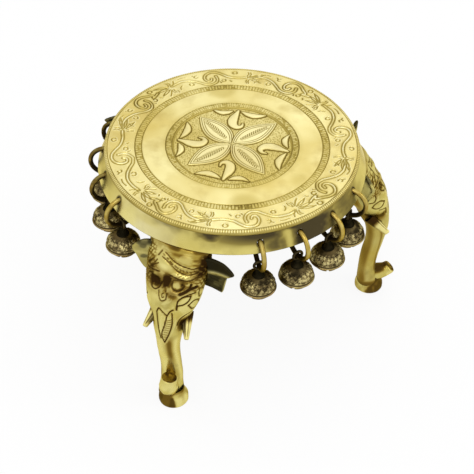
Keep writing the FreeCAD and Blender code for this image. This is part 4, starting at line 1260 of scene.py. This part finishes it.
# Ears: cast leaves, thin at the rim and thick at the root, whose front and back spread from a middle point to the
# outline. Outline corners are (sideways from the head, up) in mm.
earShape = {
    "Broad": {
        "centre": (77.2, 23.1, -27.8), "yaw": -14.0, "lean": 12.0, "side": 1, "thickness": 4.4, "dish": 1.0,
        "outline": [(15.6, 6.4), (12.6, 8.8), (6.4, 10.8), (-5.0, 10.8), (-11.5, 8.5), (-13.0, 0.0), (-11.0, -8.0),
                    (-4.0, -10.2), (1.0, -11.6), (2.6, -11.0), (5.2, -5.6), (7.5, -0.8), (8.8, 1.9), (13.0, 4.2)],
    },
    "Folded": {
        "centre": (76.5, -17.1, -28.7), "yaw": 18.0, "lean": -10.0, "side": -1, "thickness": 4.4, "dish": 0.15,
        "outline": [(11.4, 4.8), (9.4, 8.4), (6.0, 11.4), (0.0, 12.2), (-5.0, 10.8), (-8.5, 6.0), (-8.9, 0.0),
                    (-7.0, -6.5), (-2.5, -10.0), (1.5, -10.2), (4.8, -6.6), (8.6, 0.0)],
    },
}


def makeEar(name, azimuth, word, seed):
    ear, columns = earShape[word], 120
    outline, dish = np.array(ear["outline"]), ear["dish"]
    closed = np.concatenate([outline[-3:], outline, outline[:3]])
    even = np.linspace(0, len(outline), columns, endpoint=False)
    around = smoothThrough(np.arange(len(closed)) - 3.0, closed, even)
    share = np.concatenate([np.linspace(0.02, 0.9, 26), np.linspace(0.91, 1.0, 10)])
    spread = share[:, None, None] * around[None]
    sideways, up = spread[..., 0], spread[..., 1]
    # the rim is a rounded bead, the blade inside it is dished, and a fold runs from the root to the tip
    swell = 0.25 * dish * ramp(0.8, 0.95, share)[:, None] + 0.3 * dish * ramp(2.0, -8.0, sideways)
    blade = ear["thickness"] / 2 * (0.9 - 0.45 * dish + swell)
    thickness = blade * np.sqrt(np.clip(1 - share**8, 0.0, 1))[:, None]
    fold = 0.55 * dish * hump(up - 0.1 * sideways, 2.2, 1.1) * (share < 0.93)[:, None]
    ribs = 0.16 * dish * np.sin(up * 2.6 + 0.5 * sideways) * ramp(0.9, 0.7, share)[:, None] * (up < 1.0)
    bend = 1.6 * (sideways / 13.0) ** 2
    front = np.stack([bend + thickness + fold + ribs, sideways, up], -1)
    back = np.stack([bend - thickness, sideways, up], -1)
    c, s = math.cos(math.radians(ear["lean"])), math.sin(math.radians(ear["lean"]))

    def placed(shape):
        x, y, z = shape[..., 0], shape[..., 1] * ear["side"], shape[..., 2]
        return turned(np.stack([x, y * c - z * s, y * s + z * c], -1), ear["yaw"]) + np.array(ear["centre"])

    def thereAndBack(values, returning):
        return np.concatenate([values, returning[::-1][1:]])

    both = thereAndBack(placed(front), placed(back))
    up, sideways, share = thereAndBack(up, up), thereAndBack(sideways, sideways), thereAndBack(share, share)[:, None]
    fold, isFront = thereAndBack(fold, 0 * fold), thereAndBack(1 + 0 * fold, 0 * fold)
    if word == "Broad":
        # black above the fold, olive below it, pale only on the lower rim and the tip
        brightened = hump(up, 3.6, 1.6) * ramp(7.0, 10.0, sideways) + 0.45 * ramp(1.0, -2.0, up)
        paleness = ramp(0.95, 0.985, share) * brightened
        ageAndShade = 0.68 + 0.2 * ramp(0.4, 0.7, clouds(both, 3.0, seed)) - 0.7 * paleness
        ageAndShade = ageAndShade + 0.5 * ramp(2.6, 4.0, up - 0.1 * sideways) * isFront
    else:
        # worn pale, darker at the top and the root
        paleness = 0.0
        ageAndShade = 0.22 + 0.3 * ramp(0.5, 0.75, clouds(both, 4.0, seed)) + 0.35 * ramp(7.5, 10.5, up)
        ageAndShade = ageAndShade + 0.2 * ramp(-1.0, -7.0, sideways)
    ageAndShade = np.append(np.clip(ageAndShade - fold, 0.0, 0.95), [0.5, 0.5])
    shine = np.append(np.clip(0.7 * paleness + fold, 0, 0.8), [0.0, 0.0])
    grid, rows, ring = both.reshape(-1, 3), len(both), np.arange(columns)
    forward = ear["side"] == 1
    quads = gridQuads(rows, columns)
    faces = [quads[:, ::-1] if forward else quads, fan(len(grid), ring, not forward),
             fan(len(grid) + 1, ring + (rows - 1) * columns, forward)]
    points = turned(np.concatenate([grid, [both[0].mean(0)], [both[-1].mean(0)]]), azimuth)
    makePiece(name + word + "Ear", points, faces, "table", earBrass, ageAndShade=ageAndShade, shine=shine)


# The flange under the plate and the neck that joins it to the head: a rounded oblong outline drawn down in steps.
flangeShape = {
    "start": 54.1,
    "end": 70.1,
    "halfWidth": 13.5,
    "top": -5.4,
    "bottom": -8.9,
    "neckStart": 62.7,
    "neckBottom": -15.9,
    "squareness": 0.22,
    "columns": 96,
}


def makeFlange(name, azimuth, seed):
    columns, end, top = flangeShape["columns"], flangeShape["end"], flangeShape["top"]
    angle = roundAngles(columns)
    across = signedPower(np.cos(angle), flangeShape["squareness"])
    sideways = signedPower(np.sin(angle), flangeShape["squareness"])
    points, faces, count = [], [], 0
    for first, last in (("start", "bottom"), ("neckStart", "neckBottom")):
        start, bottom = flangeShape[first], flangeShape[last]
        steps = ((0.4, top), (0.05, top - 0.35), (0.0, (top + bottom) / 2), (0.05, bottom + 0.35), (0.4, bottom))
        for inset, level in steps:
            outward = (start + end) / 2 + ((end - start) / 2 - inset) * across
            points.append(np.stack([outward, (flangeShape["halfWidth"] - inset) * sideways, level + 0 * angle], -1))
        faces.append(gridQuads(len(steps), columns, count)[:, ::-1])
        faces.append(cap(count, columns))
        faces.append(cap(count + (len(steps) - 1) * columns, columns, True))
        count += len(steps) * columns
    points = np.concatenate(points)
    ageAndShade = 0.4 + 0.4 * clouds(points, 4.0, seed)
    makePiece(name + "Flange", turned(points, azimuth), faces, "table", legBrass, ageAndShade=ageAndShade)


for number, (name, azimuth) in enumerate(table["legAzimuths"].items()):
    seed = 50 + 10 * number
    makeLeg(name, azimuth, seed)
    makeFoot(name, azimuth, seed + 1)
    makeTrunkTip(name, azimuth, seed + 2)
    makeTusks(name, azimuth, seed + 3)
    makeEar(name, azimuth, "Broad", seed + 4)
    makeEar(name, azimuth, "Folded", seed + 5)
    makeFlange(name, azimuth, seed + 6)
print("legs carved")


# Rings: open circles of bent wire, a little uneven, with a painted highlight on the outside and painted shade inside
# and below. The yaw turns a ring a little about the upright line through its hole, as it happens to hang, and the
# darkening is the painted shade over the whole ring, most on the rings that hang in shade.
ringShape = {
    "radius": 9.4,
    "wire": 1.45,
    "gapTurn": 200.0,
    "gap": 3.0,
    "rows": 72,
    "columns": 20,
    "yaw": (2.0, -2.5, 3.0, 4.0, -2.0, 3.0, 2.0, -3.5, 3.0, -2.0, 3.5, -2.5),
    "darkening": (0.1, 0.0, 0.05, 0.15, 0.1, 0.5, 0.55, 0.6, 0.3, 0.2, 0.3, 0.4),
}


def makeRing(number, azimuth):
    rows, columns = ringShape["rows"], ringShape["columns"]
    angle = np.radians(np.linspace(0.0, 360.0 - ringShape["gap"], rows) - ringShape["gapTurn"])
    path = np.stack([ringShape["radius"] * np.cos(angle), 0 * angle, ringShape["radius"] * np.sin(angle)], -1)
    wire = ringShape["wire"] * (1.0 - 0.03 * clouds(path + number * 7.0, 3.0, 61))
    wire[[0, -1]] *= 0.8
    outward = path[:, None] / ringShape["radius"]
    around = roundAngles(columns)[None, :]
    section = outward * np.cos(around)[..., None] + np.array([0.0, 1.0, 0.0]) * np.sin(around)[..., None]
    grid = path[:, None] + wire[:, None, None] * section
    # painted shade low on the ring and inside the wire, a painted highlight on its outside
    low = ramp(0.2, -0.9, np.sin(angle))[:, None]
    mottled = clouds(grid + number * 5.0, 2.6, 62)
    darkening = ringShape["darkening"][number - 1]
    ageAndShade = 0.75 * ramp(0.3, -0.8, np.cos(around)) + 0.5 * low + 0.6 * (mottled - 0.35) + darkening
    brightened = ramp(0.2, 0.9, np.cos(around)) * (1 - 0.9 * low) * ramp(0.4, 0.7, mottled)
    ageAndShade, shine = np.clip(ageAndShade, 0.0, 0.95), np.clip((0.5 - 0.5 * darkening) * brightened, 0, 1)
    points = turned(grid.reshape(-1, 3), ringShape["yaw"][number - 1])
    points = turned(points + np.array([table["hangRadius"], 0.0, table["ringDepth"]]), azimuth)
    faces = [gridQuads(rows, columns), cap(0, columns, True), cap((rows - 1) * columns, columns)]
    name = f"ring_{number:02d}"
    makePiece(f"ringWire{number:02d}", points, faces, name + "_body", ringBrass, [name], ageAndShade, shine)


# Bells: a squashed ball embossed with small flowers above, a raised girdle, a plain cap below with two crossed slits,
# and on top a cone neck with its eye.
bellShape = {
    "radius": 9.9,
    "halfHeight": 8.1,
    "girdle": -1.1,
    "girdleRise": 0.8,
    "slitHalfWidth": 0.65,
    "slitReach": 9.6,
    "slitTurns": (45.0, 135.0),
    "crown": 7.6,
    "bottom": -6.4,
    "neckFoot": 7.2,
    "neckRoot": 3.9,
    "neckTop": 2.2,
    "neckRows": 24,
    "neckColumns": 40,
    "eyeRadius": 2.72,
    "eyeWire": 0.88,
    "eyeRows": 48,
    "eyeColumns": 16,
    "columns": 160,
}


def makeBell(number, azimuth):
    girdle, columns = bellShape["girdle"], bellShape["columns"]
    bands = [np.linspace(14.0, 88.0, 48), np.linspace(89.0, 108.0, 26), np.linspace(110.0, 178.0, 34)]
    p, a = np.meshgrid(np.radians(np.concatenate(bands)), roundAngles(columns), indexing="ij")
    z = bellShape["halfHeight"] * np.cos(p)
    below = ramp(girdle + 0.1, girdle - 0.7, z)
    ridge = hump(z, girdle, 0.5)
    radius = bellShape["radius"] * np.sin(p) ** 0.92 * (1 - 0.05 * below) * (1 - 0.05 * ramp(4.0, 7.0, z))
    radius = radius + bellShape["girdleRise"] * ridge + 0.175 * hump(z, girdle + 1.3, 0.25)
    # small flowers scattered over the upper half, fading towards the neck, on a finely grained ground
    gap, mark, offset = scatter(a * 9.2 + number * 3.0, z * 1.25 + 50.0, 2.6, 71 + number)
    petalTurn = np.arctan2(offset[..., 1], offset[..., 0])
    petals = (0.6 + 0.35 * mark) * (1 + 0.36 * np.cos(5 * petalTurn + mark * 6.0))
    flower = ramp(petals + 0.2, petals - 0.2, gap) - 0.8 * ramp(0.36, 0.15, gap)
    grains, _, _ = scatter(a * 9.2, z * 1.2, 0.75, 90 + number)
    upper = ramp(girdle + 1.5, girdle + 2.0, z) * ramp(7.2, 5.4, z)
    emboss = upper * (0.38 * flower + 0.18 * ramp(0.36, 0.12, grains) * (1 - flower))
    x, y = radius * np.cos(a), radius * np.sin(a)
    slit = np.zeros(z.shape)
    for slitTurn in bellShape["slitTurns"]:
        along, off = (np.abs(v) for v in alongAcross(x, y, slitTurn))
        width = ramp(bellShape["slitHalfWidth"] + 0.2, bellShape["slitHalfWidth"] - 0.15, off)
        slit = np.maximum(slit, width * ramp(bellShape["slitReach"] + 0.3, bellShape["slitReach"] - 0.2, along))
    slit = slit * ramp(girdle - 0.7, girdle - 1.3, z)
    normal = np.stack([np.sin(p) * np.cos(a), np.sin(p) * np.sin(a), 1.3 * np.cos(p)], -1)
    normal /= np.linalg.norm(normal, axis=-1, keepdims=True)
    points = np.stack([x, y, z], -1) + normal * (emboss - 2.2 * slit - 0.12)[..., None]
    # painted highlights in patches on the embossing, most in a low band of the upper half, and painted shade towards
    # the neck and between the patches
    paleness = 0.6 * clouds(points + number * 9.0, 5.5, 73) + 0.4 * clouds(points + number * 9.0, 1.8, 74)
    lowBand = ramp(7.2, 4.2, z) * (z > girdle)
    shine = np.clip(upper * ramp(0.05, 0.3, emboss) * ramp(0.3, 0.6, paleness) * (0.15 + 0.85 * lowBand), 0, 1)
    shine = np.maximum(np.maximum(shine, 0.3 * ridge * ramp(0.4, 0.7, paleness)), 0.12 * below) * (1 - slit)
    bellShade = 0.35 * ramp(4.5, 7.0, z) + 0.35 * ramp(0.55, 0.25, paleness) * (1 - below)
    ageAndShade = slit + 0.65 * upper * ramp(0.2, -0.1, emboss) + bellShade
    ageAndShade = np.clip(np.maximum(ageAndShade, 0.9 * hump(z, girdle + 1.1, 0.4)), 0.0, 1.0)
    count, rows = points.size // 3, len(points)
    lastRing = (rows - 1) * columns + np.arange(columns)
    faces = [gridQuads(rows, columns)[:, ::-1], fan(count, np.arange(columns)), fan(count + 1, lastRing, True)]
    poles = [[0.0, 0.0, bellShape["crown"]], [0.0, 0.0, bellShape["bottom"]]]
    parts = [np.concatenate([points.reshape(-1, 3), poles]) + np.array([0.0, 0.0, table["bellDepth"]])]
    ages, shines = [np.append(ageAndShade, [0.6, 1.0])], [np.append(shine, [0.0, 0.0])]
    # the neck: a cone with a collar, up to the eye
    rows, columns = bellShape["neckRows"], bellShape["neckColumns"]
    neckFoot, neckHead = table["bellDepth"] + bellShape["neckFoot"], table["eyeDepth"] - bellShape["eyeRadius"]
    share = np.linspace(0, 1, rows)
    neckRadius = bellShape["neckRoot"] * (1 - share) + bellShape["neckTop"] * share - 0.55 * np.sin(math.pi * share)
    neckRadius = neckRadius + 0.25 * hump(share, 0.16, 0.05)
    neck = turnedProfile(np.stack([neckRadius, neckFoot + (neckHead - neckFoot) * share], -1), columns)
    count += 2
    faces += [gridQuads(rows, columns, count), cap(count + (rows - 1) * columns, columns)]
    # the eye: a small ring standing across the wire ring
    count += rows * columns
    rows, columns = bellShape["eyeRows"], bellShape["eyeColumns"]
    turn, around = roundAngles(rows), roundAngles(columns)
    rim = np.stack([0 * turn, np.cos(turn), np.sin(turn)], -1)
    eye = rim[:, None] * (bellShape["eyeRadius"] + bellShape["eyeWire"] * np.cos(around))[None, :, None]
    eye = eye + np.array([1.0, 0, 0]) * (bellShape["eyeWire"] * np.sin(around))[None, :, None]
    eye = eye + np.array([0.0, 0.0, table["eyeDepth"]])
    faces.append(gridQuads(rows + 1, columns) % (rows * columns) + count)
    hang = np.array([table["hangRadius"], 0.0, 0.0])
    for part, plain, cloudy, size, seed in ((neck, 0.75, 0.3, 2.0, 75), (eye, 0.35, 0.4, 1.5, 76)):
        parts.append(part.reshape(-1, 3))
        ages.append(plain + cloudy * clouds(parts[-1] + hang + number, size, seed))
        shines.append(np.zeros(len(parts[-1])))
    points, ageAndShade, shine = turned(np.concatenate(parts) + hang, azimuth), np.concatenate(ages), np.concatenate(shines)
    name = f"bell_{number:02d}"
    makePiece(f"bellCasting{number:02d}", points, faces, name + "_body", bellBrass, [name], ageAndShade, shine)


for number, azimuth in enumerate(pendants, 1):
    makeRing(number, azimuth)
    makeBell(number, azimuth)
print("rings and bells hung")

for name, node in nodes.items():
    if name == "leg_screws" or name.startswith("pellet"):
        node.data.materials.clear()
        node.data.materials.append(screwSteel if name == "leg_screws" else pelletIron)


# The studio: a white floor and world, and three large soft lamps.
studio = {
    "lamps": [
        ("keyLamp", (-0.5, -1.1, 1.7), 1.0, 7.0),
        ("sideLamp", (1.5, -0.5, 1.0), 0.8, 3.5),
        ("backLamp", (0.6, 1.4, 1.9), 1.4, 2.0),
    ],
    "worldStrength": 1.0,
    "floorColour": 0.86,
    "floorGlow": 0.88,
}


# One for the rays that see the background itself: camera, mirror and glass rays.
def directRays(tree):
    path = tree.nodes.new("ShaderNodeLightPath")
    value = path.outputs["Is Camera Ray"]
    for ray in ("Is Glossy Ray", "Is Transmission Ray"):
        either = tree.nodes.new("ShaderNodeMath")
        either.operation = "MAXIMUM"
        tree.links.new(value, either.inputs[0])
        tree.links.new(path.outputs[ray], either.inputs[1])
        value = either.outputs["Value"]
    return value


def makeStudio():
    world = bpy.data.worlds.new("studioWorld")
    bpy.context.scene.world = world
    world.use_nodes = True
    tree = world.node_tree
    tree.nodes["Background"].inputs["Color"].default_value = (1.0, 1.0, 1.0, 1.0)
    tree.nodes["Background"].inputs["Strength"].default_value = studio["worldStrength"]
    for name, place, size, power in studio["lamps"]:
        lamp = bpy.data.lights.new(name, "AREA")
        lamp.shape = "DISK"
        lamp.size = size
        lamp.energy = power
        holder = bpy.data.objects.new(name, lamp)
        bpy.context.scene.collection.objects.link(holder)
        holder.location = place
        holder.rotation_mode = "QUATERNION"
        holder.rotation_quaternion = (-holder.location).to_track_quat("-Z", "Y")
    floorMaterial = bpy.data.materials.new("studioFloor")
    floorMaterial.use_nodes = True
    tree = floorMaterial.node_tree
    shader = tree.nodes["Principled BSDF"]
    shader.inputs["Base Color"].default_value = (studio["floorColour"],) * 3 + (1.0,)
    shader.inputs["Roughness"].default_value = 0.9
    shader.inputs["Specular IOR Level"].default_value = 0.1
    glow = tree.nodes.new("ShaderNodeEmission")
    glow.inputs["Strength"].default_value = 1.0
    share = tree.nodes.new("ShaderNodeMath")
    share.operation = "MULTIPLY"
    share.inputs[1].default_value = studio["floorGlow"]
    tree.links.new(directRays(tree), share.inputs[0])
    mix = tree.nodes.new("ShaderNodeMixShader")
    tree.links.new(share.outputs["Value"], mix.inputs["Fac"])
    tree.links.new(shader.outputs["BSDF"], mix.inputs[1])
    tree.links.new(glow.outputs["Emission"], mix.inputs[2])
    tree.links.new(mix.outputs["Shader"], tree.nodes["Material Output"].inputs["Surface"])
    level = table["floor"] * mm - 0.0002
    mesh = bpy.data.meshes.new("studioFloor")
    mesh.from_pydata([(-6, -6, level), (6, -6, level), (6, 6, level), (-6, 6, level)], [], [(0, 1, 2, 3)])
    mesh.materials.append(floorMaterial)
    floor = bpy.data.objects.new("studioFloor", mesh)
    bpy.context.scene.collection.objects.link(floor)
    bpy.context.scene.view_settings.view_transform = "Standard"


makeStudio()
print("studio lit")
